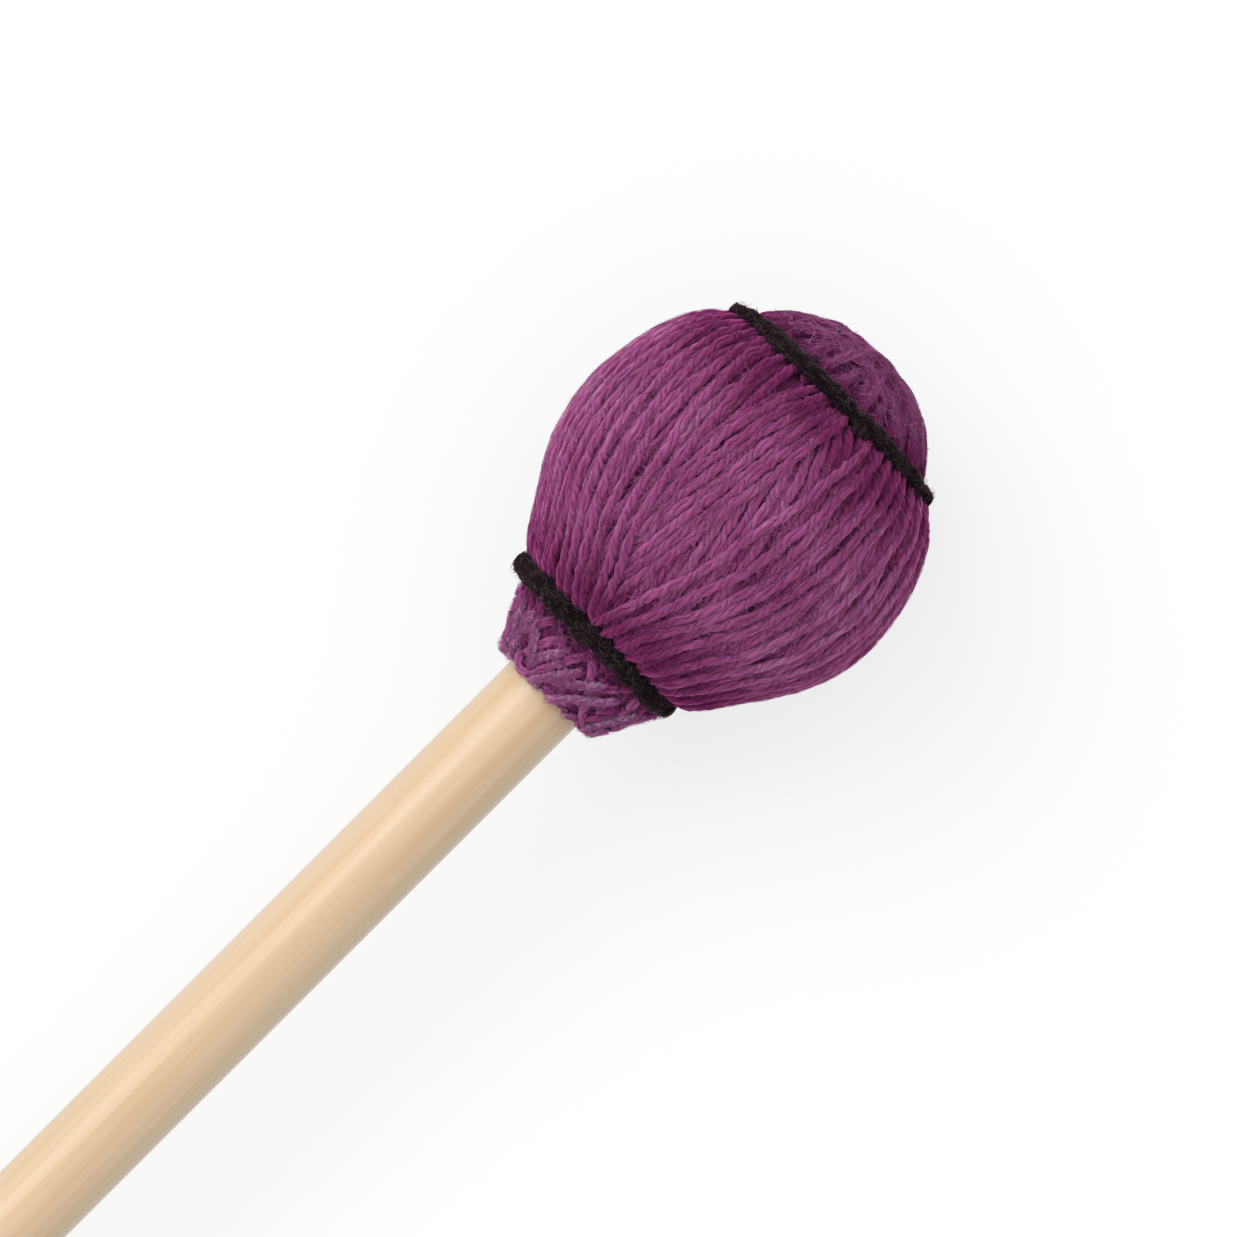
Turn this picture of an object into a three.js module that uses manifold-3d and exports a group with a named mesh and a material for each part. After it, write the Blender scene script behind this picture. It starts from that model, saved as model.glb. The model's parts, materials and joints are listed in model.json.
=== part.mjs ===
// A yarn-wound vibraphone mallet, lying at rest on the underside of its head and its butt.
// Millimetres, +Z up. The butt is towards -X and the crown of the head towards +X.
// From the inside out: rattan shaft, rubber core, latex jacket, inner winding, outer winding,
// and two rings of stitching thread, each tied in a knot.

import * as THREE from 'three';
import { mergeVertices } from 'three/addons/utils/BufferGeometryUtils.js';
import Module from 'manifold-3d';

// Shaft
const SHAFT_DIAMETER = 8;
const SHAFT_LENGTH = 385;
const BUTT_ROUNDING = 2.2;
const TIP_CHAMFER = 0.8;

// Core and its jacket
const CORE_DIAMETER = 22;
const CORE_NOSE = 6; // rubber left ahead of the shaft
const JACKET_WALL = 0.8;

// Inner winding, measured from what it covers
const BELLY_WALL = 2.8;
const CROWN_WALL = 4.6;
const CROWN_STITCHED_WALL = 1.3;
const NECK_REACH = 4.1; // from the back of the jacket to the neck stitch
const NECK_WALL = 2.9;
const NECK_STITCHED_WALL = 1.7;
const COLLAR_LENGTH = 7.3; // from the neck stitch to the collar's end
const COLLAR_WALL = 0.35;

// Outer winding
const YARN_DIAMETER = 1.5;
const YARN_SPACING = 0.5; // least gap between neighbouring strands
const LOOP_GROUPS = 3; // in each, the loops' turns lie at staggered levels
const TAIL_LENGTH = 1.8; // how far short of the turns beside it the strand goes under
const HEAD_TWIST = 50; // degrees that a strand goes round from the collar to the crown
const COLLAR_TWIST = 35; // further degrees that it goes round below the neck stitch

// Stitches
const THREAD_DIAMETER = 1.7;
const GROOVE_HALF_WIDTH = 3.3;
const CROWN_STITCH_ANGLE = 45; // degrees from the crown, on the winding's outline
const KNOT_BULGE = 0.6; // how much thicker than the thread its knot is
const KNOT_LENGTH = 2;
const CROWN_KNOT_TURN = 18.6; // degrees round the axis, from the top towards -Y
const NECK_KNOT_TURN = 205;

// Fits
const SEAT_GAP = 0.3;
const FLAT_DEPTH = 0.5; // how deep the yarn is pressed flat where the head rests

// Smoothness
const SEGMENTS = 32;
const BALL_STEPS = 10;
const ROUNDING_STEPS = 5;
const TUBE_SIDES = 6;
const TURN_STEPS = 3;
const RING_STEPS = 24;
const BODY_STEPS = 5;
const GAP_SAMPLES = 3;
const SETTLE_STEPS = 3;
const KNOT_ROUNDING_SHARE = 0.15;

const materials = {
  rattan: new THREE.MeshStandardMaterial({ color: '#e4cba6', roughness: 0.45, metalness: 0 }),
  rubber: new THREE.MeshStandardMaterial({ color: '#2b2a2c', roughness: 0.8, metalness: 0 }),
  latex: new THREE.MeshStandardMaterial({ color: '#d8c28e', roughness: 0.6, metalness: 0 }),
  innerYarn: new THREE.MeshStandardMaterial({ color: '#5e2a4c', roughness: 1, metalness: 0 }),
  outerYarn: new THREE.MeshStandardMaterial({ color: '#8a4372', roughness: 1, metalness: 0 }),
  thread: new THREE.MeshStandardMaterial({ color: '#2a2023', roughness: 1, metalness: 0 }),
};

// Sizes that follow from those above
const shaftRadius = SHAFT_DIAMETER / 2;
const BUTT_ROUNDING_MOST_SHARE = 0.8;
const buttRounding = Math.min(BUTT_ROUNDING, BUTT_ROUNDING_MOST_SHARE * shaftRadius);
const tipChamfer = Math.min(TIP_CHAMFER, shaftRadius / 2);
const boreRadius = shaftRadius + SEAT_GAP;
const coreRadius = CORE_DIAMETER / 2;
const coreCentre = SHAFT_LENGTH + SEAT_GAP + CORE_NOSE - coreRadius;
const jacketInner = coreRadius + SEAT_GAP;
const jacketOuter = jacketInner + JACKET_WALL;
const cavityRadius = jacketOuter + SEAT_GAP;
const threadRadius = THREAD_DIAMETER / 2;
const knotRadius = (THREAD_DIAMETER + KNOT_BULGE) / 2;
const upright = new THREE.Vector3(0, 1, 0); // along a cylinder as it is made
const hexagonFlat = Math.cos(Math.PI / TUBE_SIDES); // a hexagon's flats against its corners
const PRESSED_MOST_SHARE = 0.45;
const flatDepth = Math.min(FLAT_DEPTH, PRESSED_MOST_SHARE * YARN_DIAMETER);

// The outline of the inner winding runs in the plane of (along the axis, from the axis), from the
// collar's end to the crown, with the core's centre at zero: a curve up the neck, which leaves the
// neck's control point on the tangent to the ball, and two quarters of an ellipse over the ball.
const bellyRadius = cavityRadius + BELLY_WALL;
const crownReach = cavityRadius + CROWN_WALL;
const neckReach = jacketOuter + NECK_REACH;
const neckRadius = boreRadius + NECK_WALL;
const collarEnd = new THREE.Vector2(-neckReach - COLLAR_LENGTH, boreRadius + COLLAR_WALL);
const shoulderAngle = Math.PI - 2 * Math.atan(neckRadius / bellyRadius);
const shoulder = new THREE.Vector2(
  neckReach * Math.cos(shoulderAngle),
  bellyRadius * Math.sin(shoulderAngle),
);
const outline = new THREE.CurvePath();
outline.add(new THREE.QuadraticBezierCurve(
  collarEnd,
  new THREE.Vector2(-neckReach, neckRadius),
  shoulder,
));
outline.add(new THREE.EllipseCurve(0, 0, neckReach, bellyRadius, shoulderAngle, Math.PI / 2, true));
outline.add(new THREE.EllipseCurve(0, 0, crownReach, bellyRadius, Math.PI / 2, 0, true));
const outlineLength = outline.getLength();

// The place on the outline at a length from the collar's end, and the normal there.
function outlineAt(length) {
  const share = Math.min(Math.max(length / outlineLength, 0), 1);
  const point = outline.getPoint(share);
  const tangent = outline.getTangent(share);
  return { point, normal: new THREE.Vector2(-tangent.y, tangent.x) };
}

// The length along the outline at which it reaches a distance along the axis, by halving.
function lengthAt(along) {
  let low = 0;
  let high = outlineLength;
  while (high - low > outlineLength * Number.EPSILON) {
    const middle = (low + high) / 2;
    if (outlineAt(middle).point.x < along) low = middle;
    else high = middle;
  }
  return (low + high) / 2;
}

// Stations along the outline. Draw is how far the stitching pulls the yarn in there, with a share
// of it beside the stitch, and spread is how far apart the strands that reach the station lie,
// as a multiple of their spacing on the ball.
const BESIDE_STITCH_SHARE = 0.15;
const BOW_SHARE = 0.75; // how far a turn reaches, against half its width
const CAP_SPREADS = [1, 2, 4, 5];
const COLLAR_SPREADS = [4, 2.7, 2];
const neckLength = lengthAt(-neckReach);
const crownLength = lengthAt(crownReach * Math.cos(THREE.MathUtils.degToRad(CROWN_STITCH_ANGLE)));
const capStart = crownLength + GROOVE_HALF_WIDTH;
const CAP_TURN_SHARES = [0, 0.42, 0.65, 0.8];
const capTurns = CAP_TURN_SHARES.map((share) => capStart + share * (outlineLength - capStart));
const loops = LOOP_GROUPS * 2 ** (CAP_SPREADS.length - 1);
const strands = 2 * loops;
const strandAngle = (2 * Math.PI) / strands;
const collarTurn = 2 * strandAngle * (collarEnd.y + YARN_DIAMETER) + YARN_DIAMETER / 2;
const neckOutline = outlineAt(neckLength);
const neckDraw = (neckOutline.point.y - boreRadius - NECK_STITCHED_WALL) / neckOutline.normal.y;
const crownDraw = outlineAt(crownLength).point.length() - cavityRadius - CROWN_STITCHED_WALL;

function bodyStations() {
  const start = neckLength + GROOVE_HALF_WIDTH;
  const end = crownLength - GROOVE_HALF_WIDTH;
  const between = [];
  for (let i = 1; i <= BODY_STEPS; i += 1) {
    const draw = i === BODY_STEPS ? crownDraw * BESIDE_STITCH_SHARE : 0;
    between.push({ length: start + ((end - start) * i) / BODY_STEPS, draw, spread: 1 });
  }
  return between;
}

const stations = [
  { length: 0, draw: 0, spread: COLLAR_SPREADS[0] },
  { length: collarTurn, draw: 0, spread: COLLAR_SPREADS[0] },
  { length: (collarTurn + neckLength) / 2, draw: 0, spread: COLLAR_SPREADS[1] },
  { length: neckLength, draw: neckDraw, spread: COLLAR_SPREADS[2] },
  { length: neckLength + GROOVE_HALF_WIDTH, draw: 0, spread: 1 },
  ...bodyStations(),
  { length: crownLength, draw: crownDraw, spread: 1 },
  ...capTurns.map((length, level) => ({
    length,
    draw: level === 0 ? crownDraw * BESIDE_STITCH_SHARE : 0,
    spread: CAP_SPREADS[level],
  })),
  { length: outlineLength, draw: 0, spread: CAP_SPREADS[CAP_SPREADS.length - 1] },
];
const neckStation = stationAt(neckLength);
const crownStation = stationAt(crownLength);
const neckTurns = [neckStation + 1, neckStation, stationAt(collarTurn)];
const crownTurns = capTurns.map(stationAt);

function stationAt(length) {
  return stations.findIndex((station) => station.length === length);
}

for (const station of stations) {
  const { point, normal } = outlineAt(station.length);
  station.point = point.clone().addScaledVector(normal, -station.draw);
  station.normal = normal;
}

// The inner winding's surface between stations is straight, so that strands lie along it.
function seatAt(length) {
  let i = 1;
  while (i < stations.length - 1 && stations[i].length < length) i += 1;
  const before = stations[i - 1];
  const after = stations[i];
  const share = (length - before.length) / (after.length - before.length);
  return {
    point: before.point.clone().lerp(after.point, share),
    normal: before.normal.clone().lerp(after.normal, share).normalize(),
    spread: THREE.MathUtils.lerp(before.spread, after.spread, share),
  };
}

// How far round the axis a strand has turned at a length, and how fast it turns there.
function twistAt(length) {
  const headRate = THREE.MathUtils.degToRad(HEAD_TWIST) / outlineLength;
  const collarRate = THREE.MathUtils.degToRad(COLLAR_TWIST) / neckLength;
  const below = Math.min(length - neckLength, 0);
  return {
    angle: headRate * length + collarRate * below,
    rate: below < 0 ? headRate + collarRate : headRate,
  };
}

// The strand's thickness: as thick as the yarn, or squeezed to what its neighbours leave it.
function strandDiameter(length, spread) {
  const { point, normal } = seatAt(length);
  const radius = point.y + normal.y * SEAT_GAP;
  const slant = 1 / Math.hypot(1, radius * twistAt(length).rate);
  const pitch = 2 * radius * Math.sin((spread * strandAngle) / 2) * slant;
  return Math.min(YARN_DIAMETER, Math.max(pitch - YARN_SPACING, pitch / 2));
}

// A loop's two turns are at one of several levels, so that fewer strands go on to where the
// head narrows: every second turn stops at the first level, every fourth at the next, and so on.
function turnLevel(index, levels) {
  let level = 0;
  while (level < levels - 1 && index % 2 ** (level + 1) === 0) level += 1;
  return level;
}

// Where a strand turns at either end, and on which side of the turn it lies. Strands 0 and 1 meet
// at the crown, 1 and 2 at the neck, and so on.
function neckTurnOf(strand) {
  const odd = strand % 2 === 1;
  const pair = (odd ? strand - 1 : strand + strands - 2) % strands;
  return { station: neckTurns[turnLevel(pair / 2, neckTurns.length)], side: odd ? -1 : 1 };
}

function crownTurnOf(strand) {
  const odd = strand % 2 === 1;
  const pair = odd ? strand - 1 : strand;
  return { station: crownTurns[turnLevel(pair / 2, crownTurns.length)], side: odd ? 1 : -1 };
}

// A strand's angle round the axis at a station: it spreads where its neighbours have turned back.
// Reach is how far along the outline from the station the step lies.
function strandStep(strand, index, reach = 0) {
  const { spread } = stations[index];
  const length = stations[index].length + reach;
  const side = index <= neckTurns[0] ? neckTurnOf(strand).side : crownTurnOf(strand).side;
  const angle = strandAngle * (strand + (side * (spread - 1)) / 2);
  return { length, angle: angle + twistAt(length).angle, diameter: strandDiameter(length, spread) };
}

// The half circle between a strand and the next, past a station: towards the crown or the neck.
function turnSteps(strand, index, towards) {
  const { length, spread, point } = stations[index];
  const half = (strandAngle * spread) / 2;
  const bow = BOW_SHARE * half * (point.y + SEAT_GAP);
  const diameter = strandDiameter(length, spread);
  const steps = [];
  for (let i = 1; i < TURN_STEPS; i += 1) {
    const phase = (Math.PI * i) / TURN_STEPS;
    const reach = length + towards * bow * Math.sin(phase);
    const angle = strandAngle * (strand + 0.5) - half * Math.cos(phase);
    steps.push({ length: reach, angle: angle + twistAt(reach).angle, diameter });
  }
  return steps;
}

// One length of yarn, up and down the head once for each loop without a break.
function strandRoute() {
  const steps = [];
  for (let strand = 0; strand < strands; strand += 1) {
    const neck = neckTurnOf(strand).station;
    const crown = crownTurnOf(strand).station;
    const pass = [];
    for (let i = neck; i <= crown; i += 1) pass.push(strandStep(strand, i));
    if (strand === 0) pass[0] = strandStep(strand, neck, TAIL_LENGTH);
    if (strand === strands - 1) pass[0] = strandStep(strand, neck, 2 * TAIL_LENGTH);
    if (strand % 2 === 0) {
      steps.push(...pass, ...turnSteps(strand, crown, 1));
    } else {
      steps.push(...pass.reverse());
      if (strand < strands - 1) steps.push(...turnSteps(strand, neck, -1));
    }
  }
  return steps;
}

// A point or direction of the outline's plane, turned round the axis from the top towards -Y.
function aroundAxis({ x, y }, angle) {
  return new THREE.Vector3(x, -y * Math.sin(angle), y * Math.cos(angle));
}

// The point at a height over the inner winding, with the surface's normal there.
function placeOver(length, angle, height) {
  const { point, normal } = seatAt(length);
  return {
    position: aroundAxis(point.clone().addScaledVector(normal, height), angle),
    up: aroundAxis(normal, angle),
  };
}

// Each step of the route at its height: seated with the gap, and higher by what a straight step
// round the head would otherwise cut off it.
function strandPlaces() {
  const steps = strandRoute();
  return steps.map((step, i) => {
    const before = steps[Math.max(i - 1, 0)];
    const after = steps[Math.min(i + 1, steps.length - 1)];
    const swing = Math.max(Math.abs(step.angle - before.angle), Math.abs(after.angle - step.angle));
    const sag = seatAt(step.length).point.y * (1 - Math.cos(swing / 2));
    const height = SEAT_GAP + sag + (step.diameter / 2) * hexagonFlat;
    return { ...placeOver(step.length, step.angle, height), height, diameter: step.diameter };
  });
}

// The strand's end: a quarter turn down, then straight into the inner winding by one diameter.
function strandEnd(last, previous) {
  const onward = last.position.clone().sub(previous.position);
  onward.addScaledVector(last.up, -onward.dot(last.up)).normalize();
  const place = (forward, down, ahead) => ({
    position: last.position.clone().addScaledVector(onward, forward).addScaledVector(last.up, -down),
    up: last.up.clone().lerp(onward, ahead).normalize(),
    diameter: last.diameter,
  });
  const bend = last.height;
  const middle = Math.SQRT1_2 * bend;
  return {
    places: [
      place(middle, bend - middle, 1 / 2),
      place(bend, bend, 1),
      place(bend, bend + last.diameter, 1),
    ],
    mouth: place(bend, bend, 1).position,
    inward: last.up.clone().negate(),
    diameter: last.diameter,
  };
}

// A tube of flat sides through a row of places, with its ends closed.
function tubeGeometry(places) {
  const vertices = [];
  const triangles = [];
  places.forEach(({ position, up, diameter }, i) => {
    const before = places[Math.max(i - 1, 0)].position;
    const after = places[Math.min(i + 1, places.length - 1)].position;
    const ahead = after.clone().sub(before).normalize();
    const across = ahead.clone().cross(up).normalize();
    const over = across.clone().cross(ahead);
    for (let side = 0; side < TUBE_SIDES; side += 1) {
      const turn = (2 * Math.PI * side) / TUBE_SIDES;
      const corner = position.clone();
      corner.addScaledVector(across, (diameter / 2) * Math.cos(turn));
      corner.addScaledVector(over, (diameter / 2) * Math.sin(turn));
      vertices.push(corner.x, corner.y, corner.z);
    }
  });
  for (let i = 0; i < places.length - 1; i += 1) {
    for (let side = 0; side < TUBE_SIDES; side += 1) {
      const a = i * TUBE_SIDES + side;
      const b = i * TUBE_SIDES + ((side + 1) % TUBE_SIDES);
      triangles.push(a, a + TUBE_SIDES, b, b, a + TUBE_SIDES, b + TUBE_SIDES);
    }
  }
  const end = (places.length - 1) * TUBE_SIDES;
  for (let side = 1; side < TUBE_SIDES - 1; side += 1) {
    triangles.push(0, side, side + 1, end, end + side + 1, end + side);
  }
  const geometry = new THREE.BufferGeometry();
  geometry.setAttribute('position', new THREE.Float32BufferAttribute(vertices, 3));
  geometry.setIndex(triangles);
  return geometry;
}

// The least gap between stretches of a tube that are further apart along it than one turn.
function leastGap(places) {
  const samples = [];
  for (let i = 0; i < places.length - 1; i += 1) {
    for (let k = 0; k < GAP_SAMPLES; k += 1) {
      const share = k / GAP_SAMPLES;
      samples.push({
        position: places[i].position.clone().lerp(places[i + 1].position, share),
        radius: THREE.MathUtils.lerp(places[i].diameter, places[i + 1].diameter, share) / 2,
      });
    }
  }
  const apart = (TURN_STEPS + 1) * GAP_SAMPLES;
  let least = Infinity;
  for (let i = 0; i < samples.length; i += 1) {
    for (let j = i + apart; j < samples.length; j += 1) {
      const distance = samples[i].position.distanceTo(samples[j].position);
      least = Math.min(least, distance - samples[i].radius - samples[j].radius);
    }
  }
  return least;
}

// Booleans of closed solids
const wasm = await Module();
wasm.setup();

function solidFrom(geometry) {
  const bare = geometry.clone();
  bare.deleteAttribute('normal');
  bare.deleteAttribute('uv');
  const merged = mergeVertices(bare);
  return new wasm.Manifold(new wasm.Mesh({
    numProp: 3,
    vertProperties: new Float32Array(merged.getAttribute('position').array),
    triVerts: new Uint32Array(merged.getIndex().array),
  }));
}

function geometryFrom(solid) {
  const { vertProperties, triVerts } = solid.getMesh();
  const geometry = new THREE.BufferGeometry();
  geometry.setAttribute('position', new THREE.BufferAttribute(vertProperties, 3));
  geometry.setIndex(new THREE.BufferAttribute(triVerts, 1));
  geometry.computeVertexNormals();
  return geometry;
}

// A profile of (from the axis, along the axis) points turned about X.
function turnedGeometry(profile) {
  const geometry = new THREE.LatheGeometry(profile, SEGMENTS);
  geometry.rotateZ(-Math.PI / 2);
  return geometry;
}

// Part of a circle about the core's centre, from the crown round to where the shaft goes in.
function ballProfile(radius) {
  const end = Math.PI - Math.asin(boreRadius / radius);
  const points = [];
  for (let i = 0; i <= BALL_STEPS; i += 1) {
    const angle = (end * i) / BALL_STEPS;
    points.push(new THREE.Vector2(i === 0 ? 0 : radius * Math.sin(angle), radius * Math.cos(angle)));
  }
  return points;
}

function shaftGeometry() {
  const profile = [new THREE.Vector2(0, 0)];
  for (let i = 0; i <= ROUNDING_STEPS; i += 1) {
    const angle = (Math.PI / 2) * (i / ROUNDING_STEPS);
    profile.push(new THREE.Vector2(
      shaftRadius - buttRounding + buttRounding * Math.sin(angle),
      buttRounding - buttRounding * Math.cos(angle),
    ));
  }
  profile.push(new THREE.Vector2(shaftRadius, SHAFT_LENGTH - tipChamfer));
  profile.push(new THREE.Vector2(shaftRadius - tipChamfer, SHAFT_LENGTH));
  profile.push(new THREE.Vector2(0, SHAFT_LENGTH));
  return turnedGeometry(profile);
}

// A ball of rubber with a blind bore for the shaft.
function coreGeometry() {
  const boreFloor = coreRadius - CORE_NOSE;
  const bore = [new THREE.Vector2(0, boreFloor), new THREE.Vector2(boreRadius, boreFloor)];
  return turnedGeometry([...bore, ...ballProfile(coreRadius).reverse()]);
}

// A thin shell over the core, open at the neck.
function jacketGeometry() {
  return turnedGeometry([...ballProfile(jacketInner), ...ballProfile(jacketOuter).reverse()]);
}

// The hidden layers of yarn: a pear with a ball-shaped hollow and a bore for the shaft.
function innerWindingGeometry(ends) {
  const skin = stations.map(({ point }) => new THREE.Vector2(point.y, point.x));
  skin[skin.length - 1].x = 0;
  const collarFace = new THREE.Vector2(boreRadius, collarEnd.x);
  let solid = solidFrom(turnedGeometry([...ballProfile(cavityRadius), collarFace, ...skin]));
  for (const { mouth, inward, diameter } of ends) {
    const depth = 2 * (diameter + SEAT_GAP);
    const radius = diameter / 2 + SEAT_GAP;
    const pocket = new THREE.CylinderGeometry(radius, radius, depth, 2 * TUBE_SIDES);
    pocket.applyQuaternion(new THREE.Quaternion().setFromUnitVectors(upright, inward));
    pocket.translate(mouth.x, mouth.y, mouth.z);
    solid = solid.subtract(solidFrom(pocket));
  }
  return geometryFrom(solid);
}

// The centre of a ring of thread in its groove, clear of the strands on both sloping sides.
function ringAt(index) {
  const { point, normal, draw } = stations[index];
  const nearby = stations.slice(index - 1, index + 2);
  const strand = Math.max(...nearby.map(({ length, spread }) => strandDiameter(length, spread)));
  const slope = Math.atan2(draw, GROOVE_HALF_WIDTH);
  const clear = SEAT_GAP + strand * hexagonFlat + SEAT_GAP + threadRadius;
  return { centre: point.clone().addScaledVector(normal, clear / Math.cos(slope)), normal };
}

// A place on a ring, at an angle round the axis and a height above the ring's own centre line.
function ringPlace({ centre, normal }, angle, rise) {
  return {
    position: aroundAxis(centre.clone().addScaledVector(normal, rise), angle),
    up: aroundAxis(normal, angle),
    diameter: THREAD_DIAMETER,
  };
}

// One turn of thread. Its ends leave the knot straight, and settle on to the ring from there.
function stitchPlaces(ring, knot) {
  const straight = KNOT_LENGTH / 2 + SEAT_GAP;
  const away = [straight, straight + THREAD_DIAMETER];
  const endPlaces = (side) => away.map((distance) => ({
    position: knot.position.clone().addScaledVector(knot.along, side * distance),
    up: knot.up,
    diameter: THREAD_DIAMETER,
  }));
  const knotReach = ring.centre.y + knot.rise;
  const leave = Math.atan2(away[1], knotReach);
  const lifted = Math.hypot(away[1], knotReach) - ring.centre.y;
  const steps = RING_STEPS - 2;
  const turn = 2 * (Math.PI - leave);
  const places = [];
  for (let i = 1; i < steps; i += 1) {
    const settled = Math.max(0, 1 - Math.min(i, steps - i) / SETTLE_STEPS);
    places.push(ringPlace(ring, knot.angle + leave + (turn * i) / steps, lifted * settled ** 2));
  }
  return [...endPlaces(1), ...places, ...endPlaces(-1).reverse()];
}

// The knot stands as far above the ring's centre line as it is thicker than the thread.
function knotOn(ring, degrees) {
  const angle = THREE.MathUtils.degToRad(degrees);
  const rise = knotRadius - threadRadius;
  const { position, up } = ringPlace(ring, angle, rise);
  const along = new THREE.Vector3(0, -Math.cos(angle), -Math.sin(angle));
  return { angle, rise, position, up, along };
}

// The tied knot: a short barrel whose flat ends the thread runs into.
function knotGeometry() {
  const rounding = knotRadius * KNOT_ROUNDING_SHARE;
  const half = KNOT_LENGTH / 2;
  return new THREE.LatheGeometry([
    new THREE.Vector2(0, -half),
    new THREE.Vector2(knotRadius - rounding, -half),
    new THREE.Vector2(knotRadius, rounding - half),
    new THREE.Vector2(knotRadius, half - rounding),
    new THREE.Vector2(knotRadius - rounding, half),
    new THREE.Vector2(0, half),
  ], 2 * TUBE_SIDES);
}

function addPiece(group, name, geometry, material) {
  const mesh = new THREE.Mesh(geometry, material);
  mesh.name = name;
  group.add(mesh);
  return mesh;
}

function addStitch(head, index, name, degrees) {
  const ring = ringAt(index);
  const knot = knotOn(ring, degrees);
  addPiece(head, `${name}_stitch`, tubeGeometry(stitchPlaces(ring, knot)), materials.thread);
  const mesh = addPiece(head, `${name}_knot`, knotGeometry(), materials.thread);
  mesh.position.copy(knot.position);
  mesh.quaternion.setFromUnitVectors(upright, knot.along);
}

// How far the mallet tips up towards its head, resting on the rounding of the butt and on the
// underside of the head, and how high the axis is at the butt.
function restingPose() {
  const headRadius = bellyRadius + SEAT_GAP + YARN_DIAMETER * hexagonFlat;
  const ahead = coreCentre - buttRounding;
  const drop = headRadius - (shaftRadius - buttRounding);
  const reach = Math.hypot(ahead, drop);
  const tilt = Math.atan2(drop, ahead) - Math.asin((buttRounding + flatDepth) / reach);
  const side = (shaftRadius - buttRounding) * Math.cos(tilt);
  return { tilt, height: buttRounding + side - buttRounding * Math.sin(tilt) };
}

// The outer winding with what lies below the floor cut away, by a box that reaches past it.
function flattened(geometry, head) {
  const size = 2 * outlineLength;
  const floor = new THREE.BoxGeometry(size, size, size);
  floor.translate(head.matrixWorld.elements[12], 0, -size / 2);
  floor.applyMatrix4(head.matrixWorld.clone().invert());
  return geometryFrom(solidFrom(geometry).subtract(solidFrom(floor)));
}

const mallet = new THREE.Group();
const { tilt, height } = restingPose();
mallet.rotation.y = -tilt;
mallet.position.z = height;
const head = new THREE.Group();
head.position.x = coreCentre;
mallet.add(head);
mallet.updateMatrixWorld(true);

const winding = strandPlaces();
const startEnd = strandEnd(winding[0], winding[1]);
const finishEnd = strandEnd(winding[winding.length - 1], winding[winding.length - 2]);
const yarn = [...startEnd.places.reverse(), ...winding, ...finishEnd.places];
console.log(`outer winding: ${loops} loops, ${yarn.length - 1} steps, least gap to itself`,
  `${leastGap(yarn).toFixed(2)} mm`);

addPiece(mallet, 'shaft', shaftGeometry(), materials.rattan);
addPiece(head, 'core', coreGeometry(), materials.rubber);
addPiece(head, 'latex_jacket', jacketGeometry(), materials.latex);
addPiece(head, 'inner_winding', innerWindingGeometry([startEnd, finishEnd]), materials.innerYarn);
addPiece(head, 'outer_winding', flattened(tubeGeometry(yarn), head), materials.outerYarn);
addStitch(head, neckStation, 'neck', NECK_KNOT_TURN);
addStitch(head, crownStation, 'crown', CROWN_KNOT_TURN);

// The origin is under the middle of the mallet, on the floor.
const extent = new THREE.Box3().setFromObject(mallet, true);
mallet.position.x -= (extent.min.x + extent.max.x) / 2;
mallet.position.y -= (extent.min.y + extent.max.y) / 2;

const part = new THREE.Group();
part.add(mallet);

export default part;
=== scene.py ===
"""A yarn-wound vibraphone mallet, lying at rest and seen from straight above.

The head is wound from plied wool, pass by pass, the outermost first: each is laid close under
those that cross it, as a taut strand is, and the whole winding settles to the outline of the
head. Lengths are millimetres, measured along the shaft from the collar's end, until a mesh is
made in metres.
"""

import json
import math

import bpy
import numpy as np
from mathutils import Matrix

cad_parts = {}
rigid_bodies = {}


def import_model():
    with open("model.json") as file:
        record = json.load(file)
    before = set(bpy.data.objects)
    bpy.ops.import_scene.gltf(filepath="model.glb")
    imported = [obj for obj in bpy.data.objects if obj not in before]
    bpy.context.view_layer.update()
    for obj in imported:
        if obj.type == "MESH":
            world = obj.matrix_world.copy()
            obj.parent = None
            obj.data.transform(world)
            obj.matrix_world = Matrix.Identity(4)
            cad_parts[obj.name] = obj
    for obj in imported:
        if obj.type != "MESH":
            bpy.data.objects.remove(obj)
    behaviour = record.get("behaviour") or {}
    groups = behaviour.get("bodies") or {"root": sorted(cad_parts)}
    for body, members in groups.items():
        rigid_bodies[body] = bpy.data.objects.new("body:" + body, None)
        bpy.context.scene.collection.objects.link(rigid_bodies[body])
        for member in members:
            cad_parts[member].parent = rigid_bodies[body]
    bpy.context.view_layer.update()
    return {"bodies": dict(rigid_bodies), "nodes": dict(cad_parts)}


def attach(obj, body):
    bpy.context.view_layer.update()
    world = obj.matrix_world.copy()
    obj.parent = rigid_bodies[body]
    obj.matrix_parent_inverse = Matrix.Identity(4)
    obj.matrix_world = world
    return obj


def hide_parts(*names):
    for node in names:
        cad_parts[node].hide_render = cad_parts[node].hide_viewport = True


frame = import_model()

MM = 0.001
TURN = 2 * math.pi
rng = np.random.default_rng(7)

# Outline of the head
COLLAR_RADIUS = 5.6
COLLAR_ROUNDING = 1.0
NECK_CURVE_AT = 6.0  # where the control point of the neck's curve lies
TANGENT_AT = 14.0  # where the neck's curve runs into the ball
BELLY_AT = 22.9
BELLY_RADIUS = 16.95
NECK_REACH = 16.4  # of the ball, from the belly towards the shaft
BELLY_SHIFT = 0.35  # of the belly's middle, from the shaft's axis towards -Y
BELLY_SHIFT_SPREAD = 8.0  # how far to either side of the belly the shift fades
OUTLINE_STEPS = 800
EDGE_STEPS = 40
SEAM = 0.01  # between the collar's rounded edge and the neck's curve

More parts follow.
